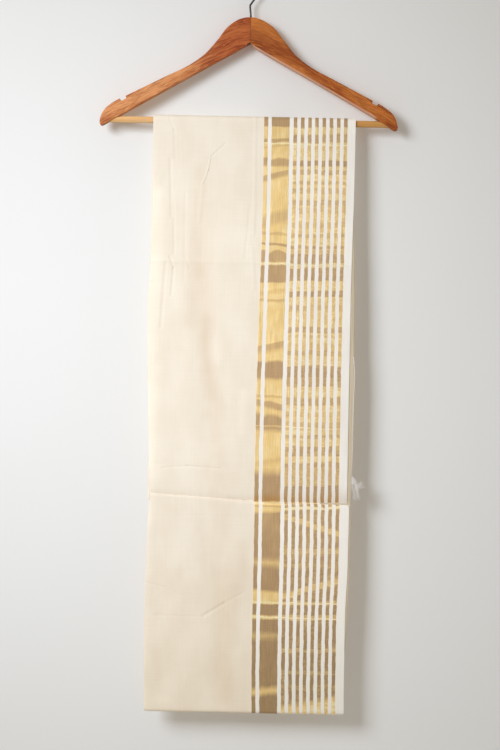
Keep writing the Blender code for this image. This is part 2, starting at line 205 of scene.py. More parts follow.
def new_piece(name, points, faces, material, uv=None):
    """Make a smooth-shaded object at the origin from points and faces, with a uv for each point."""
    mesh = bpy.data.meshes.new(name)
    mesh.from_pydata(np.asarray(points).reshape(-1, 3).tolist(), [], faces)
    if uv is not None:
        corner = np.empty(len(mesh.loops), np.int32)
        mesh.loops.foreach_get("vertex_index", corner)
        layer = mesh.uv_layers.new(name="weave")
        layer.data.foreach_set("uv", np.asarray(uv).reshape(-1, 2)[corner].astype(np.float32).ravel())
    mesh.materials.append(material)
    mesh.shade_smooth()
    piece = bpy.data.objects.new(name, mesh)
    bpy.context.scene.collection.objects.link(piece)
    return piece


def grid_faces(rows, columns, first=0, ring=False):
    """Four-sided faces between the points of a grid; ring joins the last column to the first."""
    i = np.arange(rows - 1)[:, None]
    j = np.arange(columns if ring else columns - 1)[None, :]
    k = (j + 1) % columns
    corners = (i * columns + j, i * columns + k, (i + 1) * columns + k, (i + 1) * columns + j)
    return (np.stack(corners, -1).reshape(-1, 4) + first).tolist()


def end_caps(rings, sides):
    """One many-sided face on the first ring and one on the last."""
    return [list(range(sides)), list(range((rings - 1) * sides, rings * sides))]


def unit(rows):
    """Each row divided by its length."""
    return rows / np.linalg.norm(rows, axis=1)[:, None]


def round_turn(sides):
    """The angles of a circle's points."""
    return np.linspace(0, 2 * math.pi, sides, endpoint=False)


def in_metres(rows, bare=()):
    """A table in millimetres, turned into metres. The columns that bare lists aren't lengths and stay."""
    units = np.full(len(rows[0]), 0.001)
    units[list(bare)] = 1.0
    return (np.array(rows) * units).tolist()


APEX_DROP = 0.1066
ARM_THICKNESS = 0.014
ARM_ROUND = 0.0022
ARM_GAP = 0.00002
OUTLINE_STEP = 0.0021
FLAT_INSET = 0.0006
# Each arm's outline from the crown to the corner of its tip, and its underside from there to the apex, in
# millimetres: how far out, and the drop below the height of the apex.
UPPER_LINES = {
    -1: [(0, -47), (16, -44), (33.7, -32.2), (50, -10.8), (69.5, 11), (87.5, 24.2), (128, 45.3),
        (181.5, 72.7), (205, 85.2), (216.5, 95.2), (222.2, 106.6), (223, 116), (221.8, 118.6), (219.2, 119),
        (216, 117.6)],
    1: [(0, -47), (16, -43.5), (33.7, -32.5), (50, -13.2), (69.5, 10), (87.5, 23.8), (128, 45.4),
        (181.5, 72.8), (205, 85.6), (216.5, 95.6), (221.8, 107.2), (223, 116.2), (222, 118.4), (219.4, 119),
        (216, 117.6)]}
UNDERSIDES = {
    -1: [(0, -7.2), (100, 50.5), (216, 117.6)],
    1: [(0, -7.2), (10, 0.4), (22, 7.8), (90, 45.2), (150, 78.8), (203.5, 109.8), (216, 117.6)]}
NOTCH_MIDDLE = (0.1894, 0.0768)
NOTCH_HALF = (0.0046, 0.0042)
NOTCH_LEAN = math.radians(28)
NOTCH_POWER = 0.45
NOTCH_SIDES = 40


def arm_outline(side):
    """An arm's outline, out and up: a cubic line against the length of its chords from the crown to the
    corner of the tip, level at the crown, and a smooth line from there back to the apex."""
    rough = np.array(in_metres(UPPER_LINES[side]))
    chords = np.concatenate(([0.0], np.cumsum(np.hypot(*np.diff(rough, axis=0).T))))
    both = np.concatenate((rough[3:0:-1] * (-1, 1), rough))
    marks = np.concatenate((-chords[3:0:-1], chords))
    slopes = np.gradient(both, marks, axis=0)
    places = np.linspace(0, chords[-1], int(chords[-1] / OUTLINE_STEP) + 1)
    curve = cubic_line(marks, both.T, slopes.T, places).T
    outs, drops = np.array(in_metres(UNDERSIDES[side])).T
    back = np.linspace(outs[-1], 0.0, 60)[1:]
    line = np.concatenate((curve, np.stack((back, smooth_line(outs, drops, back)), -1)))
    return np.stack((line[:, 0], -line[:, 1] - APEX_DROP), -1)


def arm_board(side):
    """Rings of the outline, from the front face to the back one. On the round edge a ring moves inwards by
    r (1 - cos a) and stands r sin a out from the flat of the edge, as a turns through a quarter."""
    line = arm_outline(side)
    ahead = unit(np.diff(line, axis=0))
    along = unit(np.concatenate((ahead[:1], ahead[:-1] + ahead[1:], ahead[-1:])))
    inward = np.stack((along[:, 1], -along[:, 0]), -1)
    miter = np.sum(along[:-1] * ahead, axis=1)
    inward[:-1] /= miter[:, None]
    inward[0] = (0.0, -1.0)
    inward[-1] = (0.0, 1 / -ahead[-1, 0])
    quarter = np.radians(np.linspace(0, 90, 8))
    inset = np.append(ARM_ROUND * (1 - np.cos(quarter)), ARM_ROUND + FLAT_INSET)
    out = np.append(ARM_ROUND * np.sin(quarter), ARM_ROUND) + ARM_THICKNESS / 2 - ARM_ROUND
    inset = np.concatenate((inset[::-1], inset))
    out = np.concatenate((-out[::-1], out))
    flat = line[None] + inward[None] * inset[:, None, None]
    x = np.maximum(flat[..., 0], ARM_GAP)
    points = np.stack((side * x, np.broadcast_to(out[:, None], x.shape), flat[..., 1]), -1)
    return points, grid_faces(len(out), len(line), ring=True) + end_caps(len(out), len(line))


def notch_block(side):
    """A bar across the board whose section is a rounded oblong: a circle whose cosine and sine are raised
    to a power under 1, leaned to lie along the arm's edge."""
    turn = round_turn(NOTCH_SIDES)
    u, w = (np.sign(way) * np.abs(way) ** NOTCH_POWER * half
            for way, half in zip((np.cos(turn), np.sin(turn)), NOTCH_HALF))
    x = side * (NOTCH_MIDDLE[0] + u * math.cos(NOTCH_LEAN) + w * math.sin(NOTCH_LEAN))
    z = -NOTCH_MIDDLE[1] - APEX_DROP - u * math.sin(NOTCH_LEAN) + w * math.cos(NOTCH_LEAN)
    points = np.stack([np.stack((x, 0 * x + y, z), -1) for y in (-0.02, 0.02)])
    return points, grid_faces(2, NOTCH_SIDES, ring=True) + end_caps(2, NOTCH_SIDES)


def face_outwards(piece):
    """Turn a closed mesh's faces outwards."""
    shell = bmesh.new()
    shell.from_mesh(piece.data)
    bmesh.ops.recalc_face_normals(shell, faces=shell.faces)
    shell.to_mesh(piece.data)
    shell.free()


def arm_finish(name, side, colours):
    """Grain lines run along the arm, over the crown and down: noise stretched along it, in several sizes.
    The left board is stained less towards its tip. The right one has a darker band, a paler top near the
    middle and a painted highlight along its lower round edge, where it faces the lamp. A dark jagged line
    shows where the two are glued, and a near-black spot is painted at its foot, on the left board's lower
    edge. The lacquer is a clear coat."""
    light, base, dark, deep = colours
    material, s = new_finish(name, Specular_IOR_Level=0.2, Coat_Weight=0.12, Coat_Roughness=0.25)
    x, y, z = s.place()
    out = x * side
    bent = (out * out + 0.0008).root()
    down = z + 0.075 + bent * 0.565
    edge_drop = out * 0.5785 - 0.0072 if side < 0 else out * 0.548 + out * out * 0.045 - 0.0043
    above_edge = (z + APEX_DROP + edge_drop) * 0.87
    along = out * 1.15
    curl = s.noise(along * 13 + side, down * 16, y * 20, 1.0) - 0.5
    down = down + curl * 0.01 * (0.3 + out.rise(0.09, 0.01))
    rings = s.noise(along * 8 + side * 2, down * 190, y * 70 + side * 7, 3.0, 0.65)
    streaks = s.noise(along * 40, down * 620, y * 240, 2.0, 0.6)
    flecks = s.noise(along * 60 + 4, down * 640, y * 420, 2.0)
    pores = s.noise(along * 110, down * 2300, y * 1500, 1.0)
    broad = s.noise(along * 9 + side * 3, down * 45, y * 14, 2.0)
    colour = s.blend(rings.rise(0.4, 0.6), base, dark)
    colour = s.blend(broad.rise(0.56, 0.42) * 0.65, colour, light)
    colour = s.blend(streaks.rise(0.5, 0.66) * 0.65, colour, deep)
    colour = s.blend(flecks.rise(0.52, 0.64) * 0.8, colour, light)
    colour = s.blend(pores.rise(0.54, 0.68) * 0.5, colour, deep)
    stain = out.rise(0.11, 0.03)
    if side > 0:
        band = (down + along * 0.1 - 0.004).hump(0.0, 0.0085) * out.rise(0.13, 0.04)
        colour = s.blend(band * 0.6, colour, dark)
        top = (down + along * 0.04).rise(0.004, 0.016) * out.rise(0.075, 0.045)
        colour = s.blend(top * 0.5, colour, light)
        # Painted highlight: a pale line along the lower round edge, where it faces the lamp.
        wear_and_painted_highlight = above_edge.rise(0.0034, 0.0018) * out.between(0.003, 0.19, 0.003)
        colour = s.blend(wear_and_painted_highlight * (0.45 + flecks * 0.6), colour, (0.66, 0.38, 0.26, 1))
        stain = out * 0.0
    colour = s.blend(stain, colour, (0.7, 0.42, 0.26, 1), "MULTIPLY")
    jag = ((z * 75 + 0.2).part() - 0.5).size() * 0.0022 - 0.0006
    seam = (x - jag).size().rise(0.0009, 0.0003)
    near_apex = above_edge.rise(0.0022, 0.0014) * out.rise(0.0058, 0.0044)
    colour = s.blend(seam * (0.2 + pores * 0.5), colour, (0.11, 0.02, 0.008, 1))
    # A near-black spot painted at the foot of the joint, on the left board's lower edge.
    if side < 0:
        colour = s.blend(near_apex * 0.85, colour, (0.02, 0.008, 0.005, 1))
    rough = 0.4 + streaks * 0.16 + pores * 0.08
    height = pores * -0.00006 + streaks * -0.00009 + rings * 0.00005 - seam * 0.00008
    finish_with(material, height, Base_Color=colour, Roughness=rough)
    return material


wood_left = arm_finish("hanger_wood_orange", -1, (
    (0.78, 0.35, 0.14, 1), (0.57, 0.2, 0.058, 1), (0.38, 0.095, 0.02, 1), (0.21, 0.042, 0.008, 1)))
wood_right = arm_finish("hanger_wood_red", 1, (
    (0.6, 0.195, 0.036, 1), (0.4, 0.094, 0.009, 1), (0.262, 0.05, 0.004, 1), (0.135, 0.023, 0.002, 1)))
for name, side, wood in (("arm_left", -1, wood_left), ("arm_right", 1, wood_right)):
    arm = new_piece("hanger_board_" + name, *arm_board(side), wood)
    block = new_piece("notch_block", *notch_block(side), wood)
    face_outwards(arm)
    face_outwards(block)
    cut = arm.modifiers.new("notch", "BOOLEAN")
    cut.object = block
    cut.solver = "EXACT"
    bpy.context.view_layer.update()
    notched = bpy.data.meshes.new_from_object(arm.evaluated_get(bpy.context.evaluated_depsgraph_get()))
    arm.modifiers.clear()
    arm.data = notched
    bpy.data.objects.remove(block)
    notched.shade_smooth()
    notched.set_sharp_from_angle(angle=math.radians(38))
    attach(arm, "root")
    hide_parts("hanger_" + name)


# The hanger's bar: a round rod of pale wood, turned and pushed into a hole in each arm. The saree hangs
# over it, so only its ends show.
BAR_DROP = 0.2159
BAR_RADIUS = 0.005
BAR_HALF_LENGTH = 0.214
BAR_SIDES = 48


def rod(radius, half_length, drop):
    """A circle of the radius carried along x, rounded over its last millimetre, and closed at both ends."""
    ends = np.array([0.0, 0.0006, 0.001])
    x = np.concatenate((-half_length + ends, np.linspace(-half_length, half_length, 40)[1:-1],
                        half_length - ends[::-1]))
    radii = np.full(len(x), radius)
    radii[:2] -= (0.001, 0.0003)
    radii[-2:] -= (0.0003, 0.001)
    turn = round_turn(BAR_SIDES)[None, :]
    y = radii[:, None] * np.sin(turn)
    z = radii[:, None] * np.cos(turn) - drop
    points = np.stack((np.broadcast_to(x[:, None], y.shape), y, z), -1)
    return points, grid_faces(len(x), BAR_SIDES, ring=True) + end_caps(len(x), BAR_SIDES)


rod_wood, s = new_finish("hanger_rod_wood", Roughness=0.5, Specular_IOR_Level=0.25)
x, y, z = s.place()
grain = s.noise(x * 14, y * 700, z * 700, 3.0)
patch = s.noise(x * 9, y * 90, z * 90, 1.0)
pores = s.noise(x * 60, y * 2600, z * 2600, 1.0)
colour = s.blend(grain.rise(0.35, 0.7), (0.86, 0.56, 0.28, 1), (0.64, 0.33, 0.12, 1))
colour = s.blend(patch.rise(0.45, 0.75) * 0.5, colour, (0.8, 0.45, 0.18, 1))
colour = s.blend(pores.rise(0.6, 0.75) * 0.4, colour, (0.42, 0.19, 0.07, 1))
colour = s.blend(x.rise(0.08, 0.16), colour, (0.76, 0.64, 0.42, 1), "MULTIPLY")
finish_with(rod_wood, grain * 0.00005 - pores * 0.00004, Base_Color=colour, Roughness=0.42 + grain * 0.2)
bar = new_piece("hanger_rod", *rod(BAR_RADIUS, BAR_HALF_LENGTH, BAR_DROP), rod_wood)
face_outwards(bar)
bar.data.set_sharp_from_angle(angle=math.radians(50))
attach(bar, "root")
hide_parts("hanger_bar")


# The hook: dark steel wire, drawn round, bent in one plane over a former and pressed into the glued joint.
# Its end is cut off square and just rounded. It is plain, with the fine lines that drawing leaves.
WIRE_RADIUS = 0.0014
HOOK_RADIUS = 0.0148
HOOK_BEND = 0.003
HOOK_END = math.radians(200)
HOOK_STEM_X = -0.0013
BEND_DROP = 0.0418
CROWN_DROP = 0.0596
STEM_IN_WOOD = 0.016
WIRE_SIDES = 24


def hook_line():
    """The wire's middle line in x and z: a straight stem that leans a little, a small bend to the right, a
    straight piece at the angle that touches both arcs, and the hook's arc over the rail to the end's angle.
    That angle is the one of the line of the middles, and the arc sine of the radii over its length."""
    middle = np.array((0.0, WIRE_RADIUS - HOOK_RADIUS))
    bend_middle = np.array((HOOK_BEND + HOOK_STEM_X, -BEND_DROP))
    away = middle - bend_middle
    lean = math.atan2(away[0], away[1]) + math.asin((HOOK_RADIUS + HOOK_BEND) / np.linalg.norm(away))
    stem = np.array([(0.0, -CROWN_DROP - STEM_IN_WOOD), (0.0, -CROWN_DROP)])
    share = np.linspace(0, 1, 16)[1:]
    sway = HOOK_STEM_X * share * share * (3 - 2 * share)
    rising = np.stack((sway, -CROWN_DROP + share * (bend_middle[1] + CROWN_DROP)), -1)
    first = np.linspace(math.pi, math.pi - lean, 12)[1:]
    second = np.linspace(-lean, HOOK_END, 110)
    bend = bend_middle + HOOK_BEND * np.stack((np.cos(first), np.sin(first)), -1)
    over = middle + HOOK_RADIUS * np.stack((np.cos(second), np.sin(second)), -1)
    straight = np.linspace(bend[-1], over[0], 8)[1:-1]
    return np.concatenate((stem, rising, bend, straight, over))


def wire(line, radius, sides):
    """A circle carried along a line in the x and z plane, square to it, with its ends a little rounded."""
    line = np.concatenate((line[:1], line[:1] + (line[1:2] - line[:1]) * 0.02, line[1:], line[-1:]))
    line[-2] += (line[-3] - line[-2]) * 0.25
    ahead = unit(np.gradient(line, axis=0))
    radii = np.full(len(line), radius)
    radii[-1] *= 0.7
    turn = round_turn(sides)[None, :]
    beside = radii[:, None] * np.cos(turn)
    x = line[:, :1] + ahead[:, 1:] * beside
    z = line[:, 1:] - ahead[:, :1] * beside
    points = np.stack((x, radii[:, None] * np.sin(turn), z), -1)
    return points, grid_faces(len(line), sides, ring=True) + end_caps(len(line), sides)


steel, s = new_finish("hook_dark_steel", Metallic=0.85)
x, y, z = s.place()
drawn = s.noise(x * 900, y * 3200, z * 900, 2.0)
# Worn patches of the steel: paler and rougher.
wear_and_painted_highlight = s.noise(x * 160, y * 160, z * 160, 3.0)
colour = s.blend(wear_and_painted_highlight.rise(0.35, 0.75), (0.03, 0.03, 0.029, 1), (0.085, 0.084, 0.081, 1))
colour = s.blend(drawn.rise(0.55, 0.8) * 0.5, colour, (0.16, 0.16, 0.156, 1))
finish_with(steel, drawn * 0.00003, Base_Color=colour, Roughness=0.3 + wear_and_painted_highlight * 0.22)
hook = new_piece("hanger_wire_hook", *wire(hook_line(), WIRE_RADIUS, WIRE_SIDES), steel)
face_outwards(hook)
hook.data.set_sharp_from_angle(angle=math.radians(50))
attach(hook, "root")
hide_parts("hanger_hook")


# The saree's outer layer: one length of fine cotton, the weaver's plain cream field with a border of gold
# zari stripes and a white selvage at the right. It hangs over the bar, down the front, round the bottom
# fold and up inside, and down the back, round a short fold. Its left edge is folded round the next layer.
FRONT, BACK = -1, 1
CLOTH = 0.00035
OUTER_RADIUS = 0.0078
LOOSE = (0.02, 0.12)
EDGE_BEND = 0.0007
BORDER_WIDTH = 0.1375
FIRST_DEPTH = 0.004
FOLD_DEPTH = {FRONT: 0.881, BACK: 0.5682}
FOLD_RADIUS = {FRONT: 0.004, BACK: 0.0018}
INNER_TOP = {FRONT: 0.03, BACK: 0.5562}
# In millimetres: the depth below the bar, then the cloth's left and right edges, the border's left line, and
# how far the last thin stripe is moved in from the right edge, where the selvage lies wider.
LEFT, RIGHT, BORDER, MOVED = 1, 2, 3, 4
EDGES = {
    FRONT: [(0, -142.5, 160.3, 23.2, 0), (118, -141, 159.7, 23.5, 0), (213, -142, 158.3, 22.5, 0),
        (268, -145.2, 157.9, 21.5, 0), (417, -142.2, 157.9, 19.8, 0), (507, -138.5, 158.1, 19.4, 0),
        (566, -136.2, 158.3, 19.5, 0), (575, -137.3, 161.6, 20.4, 2.2), (656, -140, 161.3, 20.5, 1.3),
        (746, -141, 158.8, 20.2, 0.8), (835, -140, 159, 20.9, 0.8), (885, -139, 159.7, 22, 0.8)],
    BACK: [(0, -142.5, 160.3, 23.2, 0), (140, -143.2, 159.8, 22.6, 0), (300, -144, 158.8, 21.4, 0),
        (430, -140.8, 160.1, 22.8, 0), (570, -139.9, 161, 23.6, 0)]}
# In millimetres: depth, the outer face's distance from the middle, and the whole stack's thickness.
FACE, THICKNESS = 1, 2
STACK = {
    FRONT: [(0, 7.8, 3.8), (30, 8.4, 3.8), (120, 9.2, 5), (205, 9.5, 6.2), (400, 10.1, 6.8),
        (700, 10.4, 7.4), (881, 10, 8)],
    BACK: [(0, 7.8, 3.8), (30, 8.3, 3.8), (150, 9.1, 5), (350, 9.4, 6.2), (570, 9.8, 6.8)]}
# Packing creases and soft folds, in millimetres, from one point (x, depth) to another: the width above or
# left of the line, the width below or right of it, and the push away from the camera.
CREASES = {
    FRONT: [(-150, 212, 170, 212, 6, 4, -0.6), (-150, 558, 10, 567.2, 4.8, 1.3, 2.1),
        (10, 567.2, 170, 571, 6.2, 1.3, 2.4), (60, 569.5, 170, 571, 22, 1.3, 1.8),
        (-122, 516, -25, 518.5, 3.5, 1.8, 0.4), (-85, 230, -68, 300, 16, 13, 0.6),
        (-58, 260, -46, 470, 22, 10, 1.4), (-50, 150, -56, 195, 22, 22, 0.6),
        (-71, 90, -70, 270, 18, 10, 0.9), (-110, 90, -108, 340, 8, 10, 0.4),
        (-104, 390, -98, 520, 13, 16, 0.5), (-128, 590, -116, 860, 18, 10, 0.6),
        (-105, 640, -60, 800, 35, 35, 0.6), (-52, 600, -48, 700, 18, 10, 1),
        (-30, 660, -28, 860, 20, 8, 1.4), (4, 180, 8, 260, 12, 7, -0.6), (0, 430, 4, 870, 20, 12, -0.5),
        (75, 300, 85, 500, 35, 35, -0.7), (55, 620, 100, 790, 30, 30, -0.5)],
    BACK: [(-150, 142, 170, 146, 6, 4, -0.9), (-150, 500, 170, 497, 7, 3, 0.8),
        (-70, 210, -45, 400, 30, 20, -0.8), (-108, 60, -112, 300, 10, 13, -0.5),
        (60, 230, 70, 440, 32, 32, 0.7), (-30, 330, -10, 490, 16, 12, 0.5)]}


def table(rows, column, depth):
    """A column of a table at some depths, on a smooth line through its rows."""
    rows = np.array(in_metres(rows))
    return smooth_line(rows[:, 0], rows[:, column], np.clip(depth, rows[0, 0], rows[-1, 0]))


def ease(value, low, high):
    """0 below low, 1 above high, and 3t^2 - 2t^3 between them."""
    t = np.clip((value - low) / (high - low), 0.0, 1.0)
    return t * t * (3 - 2 * t)


def crease_push(side, x, depth):
    """The sum of the creases at x and depth. Each falls off from its line as e to the minus (distance /
    width) to the power 1.15 if it lies level and 1.8 if it hangs, with one width on each side of it, and
    fades beyond the line's ends as e to the minus the square of the way past them."""
    push = np.zeros(np.broadcast(x, depth).shape)
    for x0, d0, x1, d1, width_before, width_after, amount in in_metres(CREASES[side]):
        along = np.array((x1 - x0, d1 - d0))
        length = np.linalg.norm(along)
        along /= length
        level = abs(along[0]) > abs(along[1])
        square = np.array((-along[1], along[0])) if level else np.array((along[1], -along[0]))
        away = (x - x0) * square[0] + (depth - d0) * square[1]
        reach = (x - x0) * along[0] + (depth - d0) * along[1]
        width = np.where(away < 0, width_before, width_after)
        past = np.maximum(np.maximum(-reach, reach - length), 0) / (0.02 + width)
        push += amount * np.exp(-np.abs(away / width) ** (1.15 if level else 1.8) - past ** 2)
    return push


def drop_depths(last, close_to, fine, coarse, first=FIRST_DEPTH):
    """Depths from first to last, coarse apart, and fine apart within reach of the creases."""
    places = list(np.arange(first, last, coarse))
    for crease, reach in close_to:
        places = [p for p in places if abs(p - crease) > reach]
        places += list(np.arange(crease - reach, crease + reach + fine / 2, fine))
    return np.array(sorted(p for p in places if first <= p < last))


# Columns of the cloth's line, which are y, z, the outward direction's y and z, the depth, the side, how loose
# the cloth hangs, and the run along it from the bar.
Z, DEPTH, SIDE, LOOSENESS, RUN = 1, 4, 5, 6, 7


def saree_line(front, inner, back, turns, short_fold=False):
    """The cloth's line in y and z, from the top of the inner side round to the end of the back, one row
    for each point, with the direction that is outwards there. The faces stand off from the middle as the
    stack's table says. A fold is half a circle, and over the bar the line is half a circle round the bar's
    middle. The short fold turns the line back up at the end of the back."""
    rows = []

    def face(side, depths, inside):
        thick = table(STACK[side], THICKNESS, depths) if side == FRONT else 2 * FOLD_RADIUS[BACK]
        y = table(STACK[side], FACE, depths) - inside * thick
        out = side * (1 - 2 * inside)
        one = np.ones(len(depths))
        rows.append(np.stack((side * y, -depths, out * one, 0 * one, depths, side * one,
                              ease(depths, *LOOSE)), -1))

    def fold(side, angles):
        radius, depth = FOLD_RADIUS[side], FOLD_DEPTH[side]
        middle = table(STACK[side], FACE, np.array([depth]))[0] - radius
        one = np.ones(len(angles))
        y = side * (middle + radius * np.cos(angles))
        z = -depth - radius * np.sin(angles)
        rows.append(np.stack((y, z, side * np.cos(angles), -np.sin(angles), depth * one, side * one,
                              one), -1))

    half_turn = np.linspace(0, math.pi, turns)
    face(FRONT, inner, 1)
    fold(FRONT, half_turn[::-1])
    face(FRONT, front[::-1], 0)
    over = np.linspace(-math.pi / 2, math.pi / 2, 2 * turns + 1)
    zero = np.zeros(len(over))
    rows.append(np.stack((OUTER_RADIUS * np.sin(over), OUTER_RADIUS * np.cos(over), np.sin(over),
                          np.cos(over), zero, np.where(over < 0, FRONT, BACK), zero), -1))
    face(BACK, back, 0)
    if short_fold:
        fold(BACK, half_turn)
        face(BACK, np.array([0.564, 0.56, INNER_TOP[BACK]]), 1)
    line = np.concatenate(rows)
    steps = np.hypot(*np.diff(line[:, :2], axis=0).T)
    run = np.concatenate(([0.0], np.cumsum(steps)))
    run = run[int(np.argmax(line[:, Z]))] - run
    return np.concatenate((line, run[:, None]), -1)


def on_stack(line, x, inwards):
    """Points of the stack: the line's point, moved inwards across the stack, at x, with the creases."""
    y, z, out_y, out_z, depth, side, loose = line.T[:RUN, :, None]
    push = np.where(side < 0, crease_push(FRONT, x, depth), crease_push(BACK, x, depth))
    moved = y - inwards * out_y + loose * push
    return np.stack((x, moved, z - inwards * out_z - BAR_DROP), -1)


def edge_of(line, column):
    """The left edge, right edge or border's line for each row of the saree's line."""
    front = table(EDGES[FRONT], column, line[:, DEPTH])
    back = table(EDGES[BACK], column, line[:, DEPTH])
    return np.where(line[:, SIDE] < 0, front, back)[:, None]


def pattern_place(line):
    """Where each row lies along the zari's pattern: its depth in front and inside, and behind a line on
    which the back's creases meet the pattern's."""
    behind = smooth_line([0, 0.144, 0.4975, 0.58], [0, 0.212, 0.568, 0.7], line[:, DEPTH])
    below = np.maximum(-line[:, Z] - FOLD_DEPTH[FRONT], 0)
    return np.where(line[:, SIDE] < 0, line[:, DEPTH] + below, -behind)[:, None]


def weave_uv(across, along):
    """The place across and along the cloth for each point of a grid."""
    return np.stack((across, np.broadcast_to(along, across.shape)), -1)


def outer_cloth():
    """The outer layer as a grid: along the saree's line, and across from the selvage to the left fold. The
    fold at the left is half a circle round, and its cloth lies 6 mm back under the face."""
    creases = ((0.212, 0.01), (0.5635, 0.0135))
    back_creases = ((0.144, 0.01), (0.498, 0.012))
    front = drop_depths(FOLD_DEPTH[FRONT], creases, fine=0.0006, coarse=0.0031)
    inner = drop_depths(FOLD_DEPTH[FRONT], creases, fine=0.0025, coarse=0.011, first=INNER_TOP[FRONT])
    back = drop_depths(FOLD_DEPTH[BACK], back_creases, fine=0.0012, coarse=0.0044)
    line = saree_line(front, inner, back, 12, short_fold=True)
    left, right, border, moved = (edge_of(line, column) for column in (LEFT, RIGHT, BORDER, MOVED))
    loose, run = line[:, LOOSENESS, None], line[:, RUN, None]
    radius = 0.0005 + 0.0004 * loose
    share = np.concatenate(([1, 0.9985, 0.996, 0.99], np.linspace(1, 0, 56)[1:]))[None, :]
    face_x = left + radius + share * (right - left - radius)
    from_left = face_x - left
    from_right = right - face_x
    bend = EDGE_BEND * loose * (1 - ease(from_left, 0.0, 0.007))
    wave = 0.00035 * loose * np.sin(run * 61 + 1.3 * np.sin(run * 23))
    bend = bend + np.abs(wave) * np.exp(-from_right / 0.007)
    angle = np.linspace(0, math.pi, 8)[None, 1:]
    fold_x = left + radius * (1 - np.sin(angle))
    fold_in = EDGE_BEND * loose + radius * (1 - np.cos(angle))
    under = np.array([[0.002, 0.006]])
    under_x = left + radius + under
    under_in = EDGE_BEND * loose + 2 * radius + 0 * under
    x = np.concatenate((face_x, fold_x, under_x), 1)
    inwards = np.concatenate((bend, fold_in, under_in), 1)
    unrolled = np.concatenate((face_x, left + radius - radius * angle,
                               left + radius - radius * math.pi - under), 1)
    spread = np.where(unrolled > border, BORDER_WIDTH / (right - moved - border), 1.0)
    uv = weave_uv((unrolled - border) * spread, pattern_place(line))
    return on_stack(line, x, inwards), grid_faces(*x.shape), uv


FIRST_STRIPE = 0.006
WIDE_STRIPE = (0.0115, 0.0383)
THIN_FIRST = 0.044
THIN_PITCH = 0.0108
THIN_WIDTH = 0.0056
STRIPE_EDGE = 0.0004
TURN_PLACE = 0.889
WEAVE_PITCH = 0.00075
# Stretches where the wide stripe's zari is painted brown, as painted dark reflection where it faces away from
# the lamp, in millimetres below the bar: from, to, how brown (0 to 1), the lean (down for each step across),
# how far its top is domed, and how soft its top and bottom are.
DARK_REFLECTION_STRETCHES = [
    (-30, 6.6, 0.95, 0, 0, 1, 1.2), (24.6, 30.2, 0.75, 0.07, 0, 1, 1.5), (34.5, 37.2, 0.3, 0.1, 0, 1, 1),
    (54.5, 66.4, 0.8, 0, 3, 2, 2), (75.4, 83.8, 0.75, 0.26, 0, 1.5, 3), (133.7, 151.6, 0.5, 0.3, 0, 5, 6),
    (165.1, 170, 0.5, -0.05, 2, 1.5, 1.5), (182.2, 185.8, 0.9, -0.1, 0, 1, 1),
    (191.5, 209.9, 0.8, 0, 5, 1.5, 1), (214.4, 240, 0.95, 0.03, 0, 1, 1.2), (250, 256, 0.25, 0.15, 0, 3, 3),
    (264.5, 268, 0.55, 0.02, 0, 1, 2), (331, 342, 0.65, 0.22, 0, 1, 5), (357, 384, 1, 0.05, 2, 2.5, 4),
    (410, 413.5, 0.45, -0.05, 0, 1, 1.2), (419.5, 430, 0.75, -0.18, 2, 1.5, 3),
    (438.6, 462.5, 0.9, -0.08, 3, 4, 5), (503, 510, 0.3, 0.2, 0, 3, 4), (524, 568.6, 1.05, 0.02, 0, 9, 0.6),
    (573.8, 576.2, 0.55, 0, 0, 1, 1), (583.8, 657.5, 0.95, 0.05, 0, 3.2, 10),
    (662, 701, 1.1, -0.1, 0, 10, 4), (720.5, 737.5, 1.1, 0, 0, 1, 2), (743.5, 768, 1.1, 0, 0, 1.5, 12),
    (768, 847, 1, 0.1, 0, 12, 6), (856, 910, 1.05, 0.1, 0, 5, 1)]
# The same painted dark reflection in the thin stripes: from, to, and how brown.
THIN_DARK_REFLECTION_STRETCHES = [
    (-30, 6.6, 1), (17, 29.5, 0.7), (57.5, 65.6, 0.95), (70.9, 77.6, 0.65), (88.2, 92.5, 0.55),
    (97.8, 106.7, 0.45), (115.7, 123.9, 0.55), (124.7, 135.1, 0.35), (148.6, 157.6, 0.35),
    (166.5, 171.5, 0.55), (183.5, 188.2, 0.8), (189.7, 195.7, 0.4), (196.1, 211.1, 0.95),
    (217.4, 236.8, 0.95), (251.6, 260.2, 0.95), (272.7, 281.7, 0.38), (305.8, 315, 0.65), (318.3, 322, 0.3),
    (330.3, 340, 0.22), (340.7, 348.9, 0.55), (364.3, 381.8, 0.95), (381.8, 395, 0.8), (411, 422.9, 0.62),
    (431.9, 439.4, 0.35), (447.6, 459.6, 0.4), (466.7, 472, 0.6), (483.9, 498.4, 0.7), (507.9, 517.1, 0.65),
    (517.1, 543, 0.5), (543, 570, 1.05), (571.2, 575.5, 0.8), (580, 636.6, 0.9), (636, 645, 0.55),
    (644.2, 659.2, 0.85), (658.5, 665, 0.72), (664, 716, 0.9), (715, 719.8, 0.4), (735.5, 745, 0.35),
    (721.2, 735.9, 1), (744, 787, 0.95), (787, 791.5, 0.6), (791.5, 821.5, 1), (821.5, 825.9, 0.7),
    (825.9, 842.3, 1), (842.3, 910, 0.85)]
# Bands of painted gold reflection that lean across the thin stripes: the depth at the last one, the lean,
# half the width.
LEANING_BANDS = [(0.6147, 0.33, 0.0042), (0.6855, -0.29, 0.0048), (0.577, 0.0, 0.0012)]
# Depths of thin painted glints that cross all the stripes.
PAINTED_GLINT_LINES = [0.0322, 0.2128, 0.456, 0.5697, 0.718, 0.7405]

